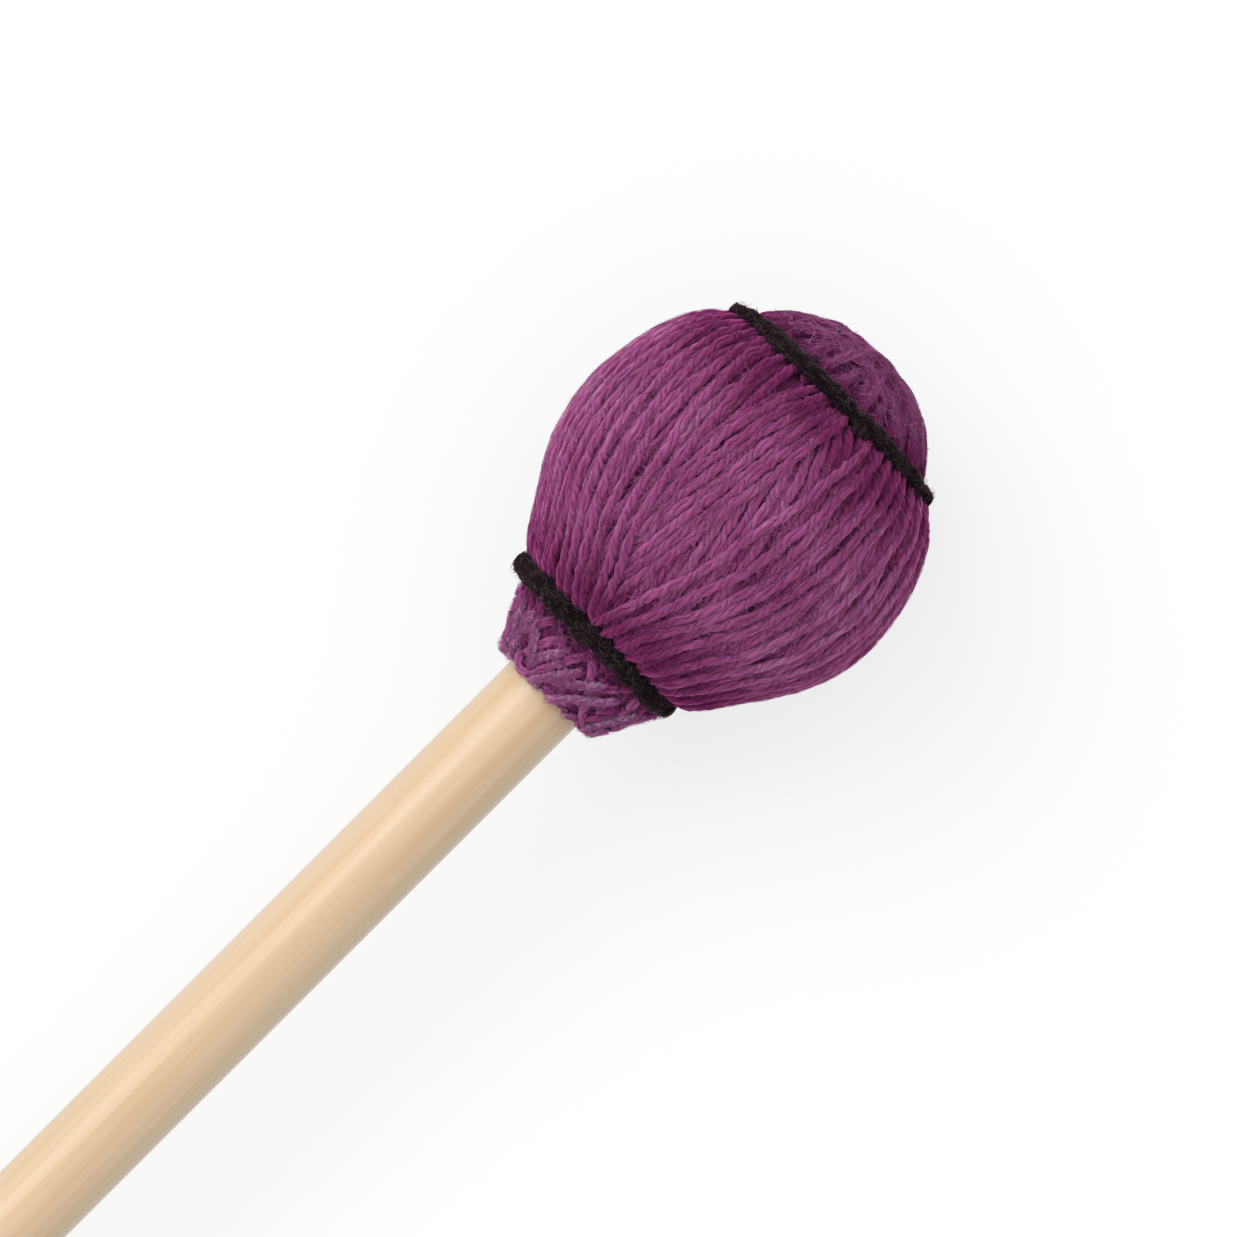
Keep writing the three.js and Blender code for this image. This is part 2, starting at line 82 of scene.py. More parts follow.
# How each stitch draws the outline in: the share of the radius, how far past the stitch the
# outline is narrowest, and how far to either side it is drawn in
WAIST = {"neck": (0.02, 0.0, 1.3), "crown": (0.113, 1.1, 2.0)}

# Yarn
STRAND_RADIUS = 0.43
STRAND_WIDENING = 1.2  # of a pass, as it flattens on those under it
STRAND_THINNING = 0.95
PLY_RADIUS = 0.24
PLY_SIDES = 5
PLY_SWELL = 0.12  # share by which a ply is thicker and thinner along its way
PLIES = 3
TWIST_LENGTH = 3.7
TWIST_DRIFT = 1.2  # how far the twist runs ahead and behind, in radians
PIECE_PASSES = 60  # of the ball, in one mesh

# How the passes lie on each other
PRESS_SHARE = 0.35  # how round a pass still is where it bears on another
GRAZE_SHARE = 0.75  # of its half width, past which it slips by what it touches
PILE_ROOM = 1.8  # under the outermost passes
LEAST_ROOM = 0.3  # the same, where the shaft is near
SHAFT_CLEARANCE = 1.2 * STRAND_RADIUS
BALL_PACKING = 0.6  # how much of its height a crossing pass keeps as it sinks into the others
TANGLE_PACKING = 0.5  # the same, at the collar and the crown
DIP = {"band": 0.05, "layer": 0.14, "tangle": 0.1}  # how far a pass wanders down on its way
EASING = {"ball": (3, 3.5), "collar": (6, 9), "crown": (4, 6)}  # reach and width, in points
FLOOR_SOFTNESS = 0.12  # of the yarn where the floor presses it
TUCK = 0.9  # how far the passes run on past the middle of a stitch
GOLDEN_SHARE = 0.381966  # of a turn, from one pass to the next, which spreads them evenly

# The outermost bands of passes over the ball: the angle of the band's middle at the belly, the
# number of passes, their spacing, and their lean
TOP_BANDS = [
    (50, 6, 2.9, 3.0),
    (20, 4, 2.1, 3.2),
    (-36, 6, 1.8, -2.9),
    (66, 4, 2.2, -1.2),
    (-12, 8, 0.9, 2.5),
    (-58, 6, 1.5, -1.4),
    (36, 5, 2.0, -1.0),
    (-70, 7, 1.2, 1.8),
    (98, 7, 1.1, -1.6),
    (120, 6, 1.5, 2.4),
    (145, 8, 1.0, 3.0),
    (-108, 8, 1.2, 2.2),
    (-135, 8, 1.0, -2.0),
    (-162, 7, 1.1, 1.5),
    (172, 7, 1.0, -1.2),
]
BAND_SCATTER = 0.2  # spread of the leans in a band

# The layers of passes under the bands
LAYER_PASSES = [136, 80]
LAYER_LEAN = 2.8
LAYER_DRIFT = (1.0, 0.6)  # of the lean, in two and in five waves round the head
LAYER_SCATTER = 0.25  # spread of the leans
LAYER_STAGGER = 0.12  # spread of the places, in passes
SWAY = 0.18  # of a pass to either side
RIPPLE = 0.07  # the same, in shorter waves
BALL_STEP = 0.4
BALL_COLUMNS = 1080

# Passes at the collar
COLLAR_PASSES = 140
COLLAR_POINTS = 38
COLLAR_STEP = 0.1
COLLAR_COLUMNS = 720
COLLAR_START = 0.4  # of the patch, along the outline
COLLAR_TURN = 0.7  # where the lowest passes turn, along the outline
COLLAR_SPREAD = 1.1  # the square of a number up to this is how much later a pass turns
COLLAR_DISH = 0.8  # how much later the passes on the top side turn
COLLAR_STAGGER = 0.05  # spread of the places, in radians
COLLAR_HALF = (0.7, 1.35)  # range of the half angle that a pass takes up, in radians
COLLAR_BEND = (0.12, 0.3)  # range of the roundness of its turn
COLLAR_SWAY = 0.12
COLLAR_PAINTED_LIGHT = (1.8, 0.8)  # painted light: how much lighter the shade is of those that stand out, as the outermost catch the light, and of the others
END_SINK = 1.6  # of the ends of a pass

# Passes that stand out on the collar: the angle and the length at which each starts and ends
COLLAR_TOP = [
    (-21, 1.0, 9, 5.9),
    (1, 1.1, 43, 6.2),
    (-56, 1.0, -46, 6.8),
    (-66, 1.2, -60, 7.2),
    (-40, 6.6, -24, 2.8),
    (52, 1.2, 66, 7.0),
    (27, 6.6, -4, 2.9),
    (-30, 2.6, -8, 6.4),
]
TOP_SWAY = 0.08

# Passes over the crown
CAP_PASSES = 120
CAP_POINTS = 50
CAP_STEP = 0.2
CAP_MARGIN = 1.0  # of the patch, past the ends of the passes
CAP_TUCK = 0.5  # how far the passes run on past the middle of the stitch
CAP_STAGGER = 0.1  # spread of the headings, in radians
CAP_SPREAD = 3.6  # spread of the passes to either side of the crown's tip
CAP_LIMIT = 0.8  # of the cap's radius, past which no pass runs
CAP_BOW = 0.7
CAP_SWAY = 0.15

# Shade of the yarn, with painted shade: darker near each stitch, as in the hollow that it pulls in, and
# darker still where the yarn also lies deep there
STITCH_REACH = {"ball": 3.3, "ends": 0.9}  # how far from a stitch the painted shade of its hollow reaches
# how much darker the yarn is painted near a stitch, as shade in its hollow
STITCH_PAINTED_SHADE = 2.0
STITCH_DEEP_PAINTED_SHADE = 3.2  # painted shade, where it lies deep as well
SHADE_DRIFT = 0.15  # along a strand

# Loose fibres
FIBRE_STEPS = 5
FIBRE_HALF_WIDTH = 0.015
FIBRE_DEPTH = 0.9  # the most yarn over a strand that still has fibres
FIBRE_NEAR_STITCH = 0.8  # the nearest to a stitch, by the bell of its painted shade, that such a strand lies
FIBRE_TURN = 0.55  # spread of the directions, from the strand's, in radians
FIBRE_SHORTEST = 0.25  # of the longest
FIBRE_CURL = 0.5  # spread of the bend sideways, as a share of a fibre's half length
FIBRE_TWIST = 0.3  # spread of the bend to both sides in turn
FIBRE_FALL = 1.6  # a fibre falls by the square of its way over this times the mean radius
FIBRE_ROOT = 0.03  # how deep in the yarn its ends start
FIBRE_ASIDE = 0.45  # spread of the places beside the top of the strand's back, in radii
BACK_FALL = 0.4  # of a strand's back, with the square of the place beside its top
FIBRE_ROLL = 0.7  # most turn about its own length, in radians

# Hidden winding
UNDER_DEPTH = 1.0  # under the skin
UNDER_STEPS = 160
UNDER_END = 0.3  # how far short of the crown's tip its profile stops
UNDER_WALL = 0.1  # over the shaft, at least

# Stitching thread
STITCHES = {"neck": 4, "crown": 5}
THREAD_RADIUS = {"neck": 1.13, "crown": 0.77}
THREAD_OUTER = {"neck": 9.6, "crown": 12.15}
THREAD_SHIFT = {"neck": 0.28, "crown": -0.8}
THREAD_SIDES = 8
THREAD_TWIST = 5.0  # length of a turn of its plies, in radii
THREAD_PLY = 0.52  # radius of a ply, as a share of the thread's
RING_LEAN = {"neck": 0.12, "crown": -0.7}  # of the ring's top, towards the shaft
RING_SIDE = {"neck": -0.45, "crown": 0.0}  # of the ring's middle, towards -Y
GROOVE_DEPTH = {"neck": 0.9, "crown": 0.7}
GROOVE_WIDTH = {"neck": 0.75, "crown": 0.5}
STITCH_STEPS = 60
STITCH_SLANT = {"neck": 0.3, "crown": 0.25}
STITCH_LENGTH = 1.35  # as a share of the way from one stitch to the next
STITCH_STAGGER = 0.15  # the same, for how unevenly they follow each other
STITCH_SCATTER = 0.06  # of a stitch along the head, and of its height on its way
STITCH_SWAY = 0.08
STITCH_DIVE = 0.14  # share of the stitch, at either end, in which it goes down
STITCH_SINK = 1.6  # how deep it goes
STITCH_FALL = 0.2  # how much lower it ends than it starts
KNOT_AT = {"neck": 205, "crown": 15.5}  # degrees round the ring
KNOT_RADIUS = 0.33  # of its thread
KNOT_TURNS = 3
KNOT_HALF_LENGTH = 0.9  # round the ring
KNOT_ASIDE = 0.7  # of its middle, from the ring's towards the shaft
KNOT_DEPTH = 0.6  # of its middle, under the outside of the ring
KNOT_HALF_WIDTH = 0.42
KNOT_HALF_HEIGHT = 0.35
KNOT_END_SINK = 0.5

# Grain of the materials
FIBRE_SLANT = 24  # degrees between a ply and its fibres
FIBRE_LENGTH = 10 / 7  # of a fibre of a ply, as drawn
FIBRE_WIDTH = 1 / 9
FIBRE_RELIEF = 0.04
DYE_PATCH = 5
LIGHT_DEPTH = 1.3  # how far light goes in wool
CANE_STREAK = 0.6  # a light and a dark fibre bundle, each 0.3 mm across
CANE_BAND = 3.5
CANE_STRETCH = 50  # how many times as long as wide both are
CANE_RELIEF = 0.02
RUBBER_MOTTLE = 2

# Shaft
BUTT_ROUNDING = 2.2
BUTT_STEPS = 12
TIP_BEVEL = 0.8
SHAFT_STEPS = 100
ROUND_SIDES = 96

# Light and floor. The sky's slope and rise are shares of its level.
SKY_LEVEL = 0.71
SKY_SLOPE = 0.35  # how much brighter the sky is at the horizon on the key's side
SKY_RISE = 1.0  # how much brighter it is overhead than at the horizon
KEY_POWER = 0.93
KEY_TILT = 42  # degrees from straight above, towards +Y
KEY_SPREAD = 40  # degrees across, as the object sees the lamp
FLOOR_HALF = 3000  # of the floor's side
FLOOR_GLOW_SHARE = 0.7  # of plain white, in what the camera sees of the floor

# Camera
VIEW_WIDTH = 106.64
AIM_ALONG = 9.33
LENS = 135
SENSOR = 36
CAMERA_TURN = -45  # degrees, so that the shaft runs to the picture's lower left corner


def node_points(name):
    """The vertices of a node of the frame, in millimetres."""
    mesh = frame["nodes"][name].data
    points = np.empty(len(mesh.vertices) * 3, np.float32)
    mesh.vertices.foreach_get("co", points)
    return points.reshape(-1, 3).astype(float) / MM


def unit(vectors):
    """Vectors scaled to a length of one."""
    return vectors / np.linalg.norm(vectors, axis=-1, keepdims=True)


# The mallet's own axes: the shaft is turned, so its axis runs through the mean of its vertices in
# the direction in which they reach furthest.
shaft_points = node_points("shaft")
shaft_middle = shaft_points.mean(axis=0)
AXIS = np.linalg.svd(shaft_points - shaft_middle, full_matrices=False)[2][0]
AXIS = AXIS * np.sign(AXIS[0])
UP = unit(np.array([0, 0, 1]) - AXIS[2] * AXIS)
SIDE = np.cross(UP, AXIS)


def along_axis(points):
    """How far points lie along the axis, from the middle of the shaft."""
    return (points - shaft_middle) @ AXIS


COLLAR_END = along_axis(node_points("inner_winding")).min()
HEAD_LENGTH = along_axis(node_points("outer_winding")).max() - COLLAR_END
SHAFT_RANGE = (along_axis(shaft_points).min() - COLLAR_END, along_axis(shaft_points).max() - COLLAR_END)
SHAFT_RADIUS = np.linalg.norm(np.cross(shaft_points - shaft_middle, AXIS), axis=1).max()
RING_AT = {
    "neck": along_axis(node_points("neck_stitch")).mean() - COLLAR_END,
    "crown": along_axis(node_points("crown_stitch")).mean() - COLLAR_END,
}
ORIGIN = shaft_middle + AXIS * COLLAR_END


def around(along, radius, angle):
    """Places (or directions) at a distance along the axis and from it, turned round the axis from
    the top towards -Y."""
    return np.stack([along, -radius * np.sin(angle), radius * np.cos(angle)], axis=-1)


def to_world(points):
    """From the mallet's axes, in millimetres, to metres in the frame."""
    return (ORIGIN + points @ np.stack([AXIS, SIDE, UP])) * MM


def bell(values, middle, width):
    """A bell curve: one at its middle, exp(-1/2) at its width to either side."""
    return np.exp(-0.5 * ((values - middle) / width) ** 2)


class Outline:
    """The head's outline by its arc length: the collar's end face and its rounded edge, a
    quadratic curve up the collar, whose control point lies on the tangent to the ball, then two
    quarters of an ellipse. Each stitch draws it in by a bell-shaped share of its radius."""

    def __init__(self):
        crown_reach = HEAD_LENGTH - BELLY_AT
        back = BELLY_AT - TANGENT_AT
        tangent_radius = BELLY_RADIUS * math.sqrt(1 - (back / NECK_REACH) ** 2)
        slope = (BELLY_RADIUS / NECK_REACH) ** 2 * back / tangent_radius
        control = tangent_radius - slope * (TANGENT_AT - NECK_CURVE_AT)
        t = np.linspace(0, 1, OUTLINE_STEPS)
        curve = np.stack([
            2 * t * (1 - t) * NECK_CURVE_AT + t ** 2 * TANGENT_AT,
            (1 - t) ** 2 * COLLAR_RADIUS + 2 * t * (1 - t) * control + t ** 2 * tangent_radius,
        ], axis=1)
        incline = math.atan2(control - COLLAR_RADIUS, NECK_CURVE_AT)
        turn = np.linspace(0, math.pi / 2 - incline, EDGE_STEPS)
        edge = COLLAR_ROUNDING * np.stack([1 - np.cos(turn), np.sin(turn)], axis=1)
        curve = curve[curve[:, 0] > edge[-1, 0]]
        edge[:, 1] += curve[0, 1] - edge[-1, 1] - SEAM
        turn = np.linspace(math.acos(back / NECK_REACH), math.pi, 2 * OUTLINE_STEPS)[1:]
        reach = np.where(turn < math.pi / 2, NECK_REACH, crown_reach)
        ball = np.stack([BELLY_AT - reach * np.cos(turn), BELLY_RADIUS * np.sin(turn)], axis=1)
        face = np.array([[0, SHAFT_RADIUS]])
        self.along, self.radius = np.concatenate([face, edge, curve, ball]).T
        draw = sum(
            share * bell(self.along, RING_AT[name] + past, spread)
            for name, (share, past, spread) in WAIST.items()
        )
        self.radius = np.maximum(self.radius * (1 - draw), 0)
        steps = np.hypot(np.diff(self.along), np.diff(self.radius))
        self.length = np.concatenate([[0], np.cumsum(steps)])
        forward = np.gradient(self.along, self.length)
        outward = np.gradient(self.radius, self.length)
        self.normal = unit(np.stack([-outward, forward], axis=1))

    def at(self, length):
        """The place on the outline and the normal, each as (along, from the axis)."""
        return (
            np.interp(length, self.length, self.along),
            np.interp(length, self.length, self.radius),
            np.interp(length, self.length, self.normal[:, 0]),
            np.interp(length, self.length, self.normal[:, 1]),
        )

    def length_at(self, along):
        """The length at which the outline has got to a distance along the axis."""
        return float(np.interp(along, self.along, self.length))

    def length_at_radius(self, radius):
        """The length at which the crown's side of the outline has a radius."""
        crown = self.along > BELLY_AT
        return np.interp(radius, self.radius[crown][::-1], self.length[crown][::-1])


outline = Outline()
RING_LENGTH = {name: outline.length_at(at) for name, at in RING_AT.items()}


def groove(length):
    """How far the stitches press the yarn in at a length along the outline: a bell curve each."""
    return sum(
        GROOVE_DEPTH[name] * bell(length, RING_LENGTH[name], GROOVE_WIDTH[name])
        for name in RING_LENGTH
    )


def blurred(values, width):
    """A row of values, each the mean of all, weighted by a bell curve about its own place."""
    place = np.arange(len(values))
    weights = bell(place[:, None], place[None, :], width)
    return weights / weights.sum(axis=1, keepdims=True) @ values


def eased(depths, reach, width):
    """A taut strand's depth: the greatest within its reach to either side, then blurred."""
    padded = np.pad(depths, reach, mode="edge")
    deepest = np.max([padded[i:i + len(depths)] for i in range(2 * reach + 1)], axis=0)
    return blurred(deepest, width)


def wrapped(angles):
    """Angles brought to within half a turn of zero."""
    return (angles + math.pi) % TURN - math.pi


def waves(count, steps, cycles, size):
    """Slow irregular waves along rows of points: for each, three sines of random phase, with one,
    2.3 and 4.1 times the cycles."""
    at = np.linspace(0, 1, steps)[None, :]
    return size * sum(
        np.sin(TURN * (cycles * share * at + rng.random((count, 1)))) for share in (1, 2.3, 4.1)
    ) / 2


def wobble(steps, size, cycles=1):
    """Slow irregular waves along one row of points."""
    return waves(1, steps, cycles, size)[0]


class Patch:
    """A stretch of the head's skin as a grid of depths, under which passes are laid one by one,
    the outermost first. The depths at the start put the middle of a pass that has nothing over
    it one radius under the skin."""

    def __init__(self, rows, columns):
        self.rows, self.columns = rows, columns
        self.depths = np.full((len(rows), len(columns)), (1 - PRESS_SHARE) * STRAND_RADIUS)
        self.row_cells, self.column_cells = np.meshgrid(rows, columns, indexing="ij")

    def lay(self, distance, station, count, reach, width):
        """Lays one pass of count points and returns how deep its middle lies. Distance is each
        cell's, across the pass, and station is the nearest of the points along it. The pass bears
        on those that are already there with its rounded back, sqrt(r^2 - distance^2), but slips
        down beside what it only grazes, and is then eased."""
        near = distance < GRAZE_SHARE * STRAND_RADIUS
        back = np.sqrt(STRAND_RADIUS ** 2 - distance[near] ** 2)
        need = np.full(count, -np.inf)
        np.maximum.at(need, station[near], self.depths[near] + PRESS_SHARE * back)
        known = np.isfinite(need)
        need = np.interp(np.arange(count), np.arange(count)[known], need[known])
        depth = eased(need, reach, width)
        near = distance < STRAND_RADIUS
        back = np.sqrt(STRAND_RADIUS ** 2 - distance[near] ** 2)
        self.depths[near] = np.maximum(self.depths[near], depth[station[near]] + back)
        return depth


class Barrel(Patch):
    """The skin round the axis: rows are lengths along the outline, columns are angles."""

    def __init__(self, start, end, step, columns):
        rows = np.linspace(start, end, int(round((end - start) / step)) + 1)
        super().__init__(rows, np.arange(columns) * TURN / columns)
        self.radius = outline.at(rows)[1]


class Cap(Patch):
    """The skin over the crown, seen along the axis: rows and columns are the two sides of a square."""

    def __init__(self, half, step):
        cells = np.arange(-half, half + step / 2, step)
        super().__init__(cells, cells)


def placed(length, angle, depth, packing, dip):
    """Points under the skin, each with its normal and with how much yarn lies over it, as rows
    of seven numbers. Passes sink into each other: of h of yarn over it, a point keeps
    room (1 - exp(-packing h / room)), where the room is what is left over the shaft. The depth of
    each wanders a little, so that it dips under its neighbours."""
    along, radius, normal_along, normal_out = outline.at(length)
    over = depth - STRAND_RADIUS + np.abs(wobble(len(depth), dip, cycles=3))
    room = np.clip(radius - SHAFT_RADIUS - SHAFT_CLEARANCE, LEAST_ROOM, PILE_ROOM)
    room = np.where(along > BELLY_AT, PILE_ROOM, room)
    sunk = STRAND_RADIUS + room * (1 - np.exp(-packing * over / room)) + groove(length)
    points = around(along - normal_along * sunk, radius - normal_out * sunk, angle)
    points[:, 1] -= BELLY_SHIFT * bell(along, BELLY_AT, BELLY_SHIFT_SPREAD)
    return np.column_stack([points, around(normal_along, normal_out, angle), over])


def ball_lines(patch):
    """Ways over the ball, the outermost first, as angles round the axis and sines of the slant:
    bands of neighbours, then layers that go all round, each leaning against the one before. A
    taut pass follows the shortest way, which crosses a circle of radius r at an angle from the
    axis whose sine is lean / r, so for each millimetre it goes round by
    lean / (r sqrt(r^2 - lean^2))."""
    radius = patch.radius
    plans = []
    for middle, count, spacing, lean in TOP_BANDS:
        for k in rng.permutation(count):
            offset = (k - (count - 1) / 2) * spacing / BELLY_RADIUS
            plans.append((math.radians(middle) + offset, lean + rng.normal(0, BAND_SCATTER)))
    for layer, count in enumerate(LAYER_PASSES):
        way = -1 if layer % 2 == 0 else 1
        for k in rng.permutation(count):
            drift = LAYER_DRIFT[0] * math.sin(2 * TURN * k / count + layer)
            drift += LAYER_DRIFT[1] * math.sin(5 * TURN * k / count)
            lean = way * (LAYER_LEAN + drift) + rng.normal(0, LAYER_SCATTER)
            plans.append((TURN * (k + rng.normal(0, LAYER_STAGGER)) / count, lean))
    lines = []
    for start, lean in plans:
        rate = lean / (radius * np.sqrt(radius ** 2 - lean ** 2))
        swing = np.concatenate([[0], np.cumsum((rate[1:] + rate[:-1]) / 2)]) * BALL_STEP
        swing -= swing[len(swing) // 2]
        sway = wobble(len(radius), SWAY) + wobble(len(radius), RIPPLE, cycles=5)
        angle = start + swing + sway / radius
        lines.append((angle, lean / radius))
    return lines


def ball_passes(patch):
    """Lays the passes of the ball and returns their points and normals."""
    passes = []
    banded = sum(count for _, count, _, _ in TOP_BANDS)
    station = np.broadcast_to(np.arange(len(patch.rows))[:, None], patch.depths.shape)
    for k, (angle, sine) in enumerate(ball_lines(patch)):
        across = wrapped(patch.columns[None, :] - angle[:, None]) * patch.radius[:, None]
        distance = np.abs(across) * np.sqrt(1 - sine[:, None] ** 2)
        depth = patch.lay(distance, station, len(angle), *EASING["ball"])
        dip = DIP["band" if k < banded else "layer"]
        passes.append(placed(patch.rows, angle, depth, BALL_PACKING, dip))
    return passes


def collar_lines(patch):
    """Ways over the collar, as the angle of the middle, the half angle, and the lengths along the
    outline. First come those of COLLAR_TOP, which run straight. The others come down on a slant,
    round the collar's end and up on the other slant: their length follows a hyperbola over the
    angle, sqrt(share^2 + bend^2) - bend, where the share is that of the half angle."""
    lines = []
    top = patch.rows[-1]
    step = patch.columns[1]
    for first, low, last, high in COLLAR_TOP:
        half = math.radians(abs(last - first)) / 2
        count = 2 * int(half / step) + 1
        length = np.linspace(low, high, count) + wobble(count, TOP_SWAY)
        lines.append((math.radians(first + last) / 2, half, length if last > first else length[::-1]))
    middle = 0.0
    for _ in range(COLLAR_PASSES):
        middle += TURN * GOLDEN_SHARE + rng.normal(0, COLLAR_STAGGER)
        late = rng.uniform(0, COLLAR_SPREAD) ** 2
        lowest = COLLAR_TURN + late + COLLAR_DISH * max(math.cos(middle), 0) ** 2
        half = rng.uniform(*COLLAR_HALF)
        bend = rng.uniform(*COLLAR_BEND)
        count = 2 * int(half / step) + 1
        offset = (np.arange(count) - count // 2) * step
        rise = np.sqrt((offset / half) ** 2 + bend ** 2) - bend
        rise /= math.sqrt(1 + bend ** 2) - bend
        lines.append((middle, half, lowest + (top - lowest) * rise + wobble(count, COLLAR_SWAY)))
    return lines


def collar_passes(patch):
    """Lays the passes of the collar and returns their points and normals. So that no end shows,
    the ends sink with the eighth power of the way from the middle."""
    passes = []
    step = patch.columns[1]
    for middle, half, length in collar_lines(patch):
        count = len(length)
        offset = (np.arange(count) - count // 2) * step
        radius = outline.at(length)[1]
        slope = np.gradient(length, step) / radius
        apart = wrapped(patch.column_cells - middle)
        station = np.clip(np.round(apart / step).astype(int) + count // 2, 0, count - 1)
        distance = np.abs(patch.row_cells - length[station]) / np.sqrt(1 + slope[station] ** 2)
        distance[np.abs(apart) > half] = np.inf
        depth = patch.lay(distance, station, count, *EASING["collar"])
        depth = depth + END_SINK * np.linspace(-1, 1, count) ** 8
        passes.append(placed(length, middle + offset, depth, TANGLE_PACKING, DIP["tangle"]))
    return passes


def crown_passes(patch, edge):
    """Lays passes over the crown and returns their points and normals: each is a chord across a
    circle whose radius is the edge, bowed as a parabola."""
    passes = []
    step = patch.rows[1] - patch.rows[0]
    for k in range(CAP_PASSES):
        heading = k * TURN * GOLDEN_SHARE / 2 + rng.normal(0, CAP_STAGGER)
        offset = rng.normal(0, CAP_SPREAD)
        offset = math.copysign(min(abs(offset), CAP_LIMIT * edge), offset)
        half = math.sqrt(edge ** 2 - offset ** 2)
        count = 2 * int(half / step) + 1
        at = (np.arange(count) - count // 2) * step
        bow = rng.normal(0, CAP_BOW)
        line = offset + bow * (at / half) ** 2 + wobble(count, CAP_SWAY)
        forward = patch.row_cells * math.cos(heading) + patch.column_cells * math.sin(heading)
        sideways = patch.column_cells * math.cos(heading) - patch.row_cells * math.sin(heading)
        station = np.clip(np.round(forward / step).astype(int) + count // 2, 0, count - 1)
        distance = np.abs(sideways - line[station])
        distance[np.abs(forward) > half] = np.inf
        depth = patch.lay(distance, station, count, *EASING["crown"])
        row = at * math.cos(heading) - line * math.sin(heading)
        column = at * math.sin(heading) + line * math.cos(heading)
        length = outline.length_at_radius(np.hypot(row, column))
        angle = np.arctan2(-row, column)
        passes.append(placed(length, angle, depth, TANGLE_PACKING, DIP["tangle"]))
    return passes


def resampled(passes, count):
    """Passes with the same number of points each, spaced evenly along them."""
    even = []
    for strand in passes:
        steps = np.linalg.norm(np.diff(strand[:, :3], axis=0), axis=1)
        run = np.concatenate([[0], np.cumsum(steps)])
        at = np.linspace(0, run[-1], count)
        even.append(np.stack([np.interp(at, run, column) for column in strand.T], axis=1))
    return np.array(even)


def run_lengths(points):
    """Distance along each row of points from its start."""
    steps = np.linalg.norm(np.diff(points, axis=1), axis=2)
    return np.concatenate([np.zeros((len(points), 1)), np.cumsum(steps, axis=1)], axis=1)


def frames(points, normals):
    """For each point of each row: the direction ahead, the normal square to it, and the third."""
    ahead = unit(np.gradient(points, axis=1))
    out = unit(normals - (normals * ahead).sum(axis=2, keepdims=True) * ahead)
    return ahead, out, np.cross(ahead, out)


def plied(strands, ply_radius, strand_radius, twist_length, thinning=1, widening=1):
    """The centre lines of the plies of each strand: helices about it, laid left-handed, with the
    direction from the strand's middle to each ply."""
    points = strands[..., :3]
    _, out, across = frames(points, strands[..., 3:6])
    run = run_lengths(points)
    phase = rng.uniform(0, TURN, (len(points), 1)) + waves(*run.shape, cycles=3, size=TWIST_DRIFT)
    rows, outs = [], []
    for ply in range(PLIES):
        turn = (phase + TURN * ply / PLIES - TURN * run / twist_length)[:, :, None]
        direction = thinning * np.cos(turn) * out + widening * np.sin(turn) * across
        rows.append(points + (strand_radius - ply_radius) * direction)
        outs.append(direction)
    return np.concatenate(rows), np.concatenate(outs)


def mesh_piece(name, vertices, faces, coordinates, shades, material):
    """A piece from arrays: vertices in the mallet's axes, one or more arrays of faces, each with
    one number of corners, a UV map in millimetres for each corner, and a shade for each vertex."""
    corners = np.concatenate([some.ravel() for some in faces])
    sizes = np.concatenate([np.full(len(some), some.shape[1]) for some in faces])
    mesh = bpy.data.meshes.new(name)
    mesh.vertices.add(len(vertices))
    mesh.vertices.foreach_set("co", to_world(vertices).ravel())
    mesh.loops.add(len(corners))
    mesh.loops.foreach_set("vertex_index", corners)
    mesh.polygons.add(len(sizes))
    mesh.polygons.foreach_set("loop_start", np.cumsum(sizes) - sizes)
    mesh.update(calc_edges=True)
    mesh.uv_layers.new(name="lay")
    mesh.uv_layers["lay"].data.foreach_set("uv", coordinates.ravel())
    mesh.attributes.new("shade", "FLOAT", "POINT").data.foreach_set("value", shades)
    mesh.shade_smooth()
    mesh.validate()
    mesh.materials.append(material)
    piece = bpy.data.objects.new(name, mesh)
    bpy.context.scene.collection.objects.link(piece)
    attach(piece, next(iter(frame["bodies"])))
    return piece


def pressed(vertices):
    """The underside of the head as the floor presses it flat: with a softness s, a height h
    becomes s ln(1 + exp(h / s)), which is h well above the floor and nearly nothing below it."""
    world = to_world(vertices) / MM
    world[..., 2] = FLOOR_SOFTNESS * np.logaddexp(0, world[..., 2] / FLOOR_SOFTNESS)
    return (world - ORIGIN) @ np.stack([AXIS, SIDE, UP]).T


def ring_faces(count, steps, sides):
    """The faces of some tubes, each with a ring of corners at every step: between one ring and
    the next, four corners for each side, and across either end all the corners of its ring."""
    tube = (np.arange(count) * steps * sides)[:, None, None]
    here = tube + (np.arange(steps - 1) * sides)[None, :, None] + np.arange(sides)[None, None, :]
    beside = here - np.arange(sides) + (np.arange(sides) + 1) % sides
    quads = np.stack([here, beside, beside + sides, here + sides], axis=-1)
    start = tube.reshape(-1, 1) + np.arange(sides)[::-1]
    finish = start[:, ::-1] + (steps - 1) * sides
    return quads.reshape(-1, 4), np.concatenate([start, finish])


def ring_coordinates(run, girth, sides):
    """The UV map of such faces, in millimetres: u is the distance run along each tube, v the girth
    of a side for each side, and both are nothing on the ends."""
    u = np.stack([run[:, :-1], run[:, :-1], run[:, 1:], run[:, 1:]], axis=-1)
    shape = (len(run), run.shape[1] - 1, sides, 4)
    side = np.arange(sides) * girth
    v = np.stack([side, side + girth, side + girth, side], axis=-1)
    coordinates = np.stack([np.broadcast_to(u[:, :, None, :], shape), np.broadcast_to(v, shape)], axis=-1)
    return np.concatenate([coordinates.reshape(-1, 2), np.zeros((2 * len(run) * sides, 2))])


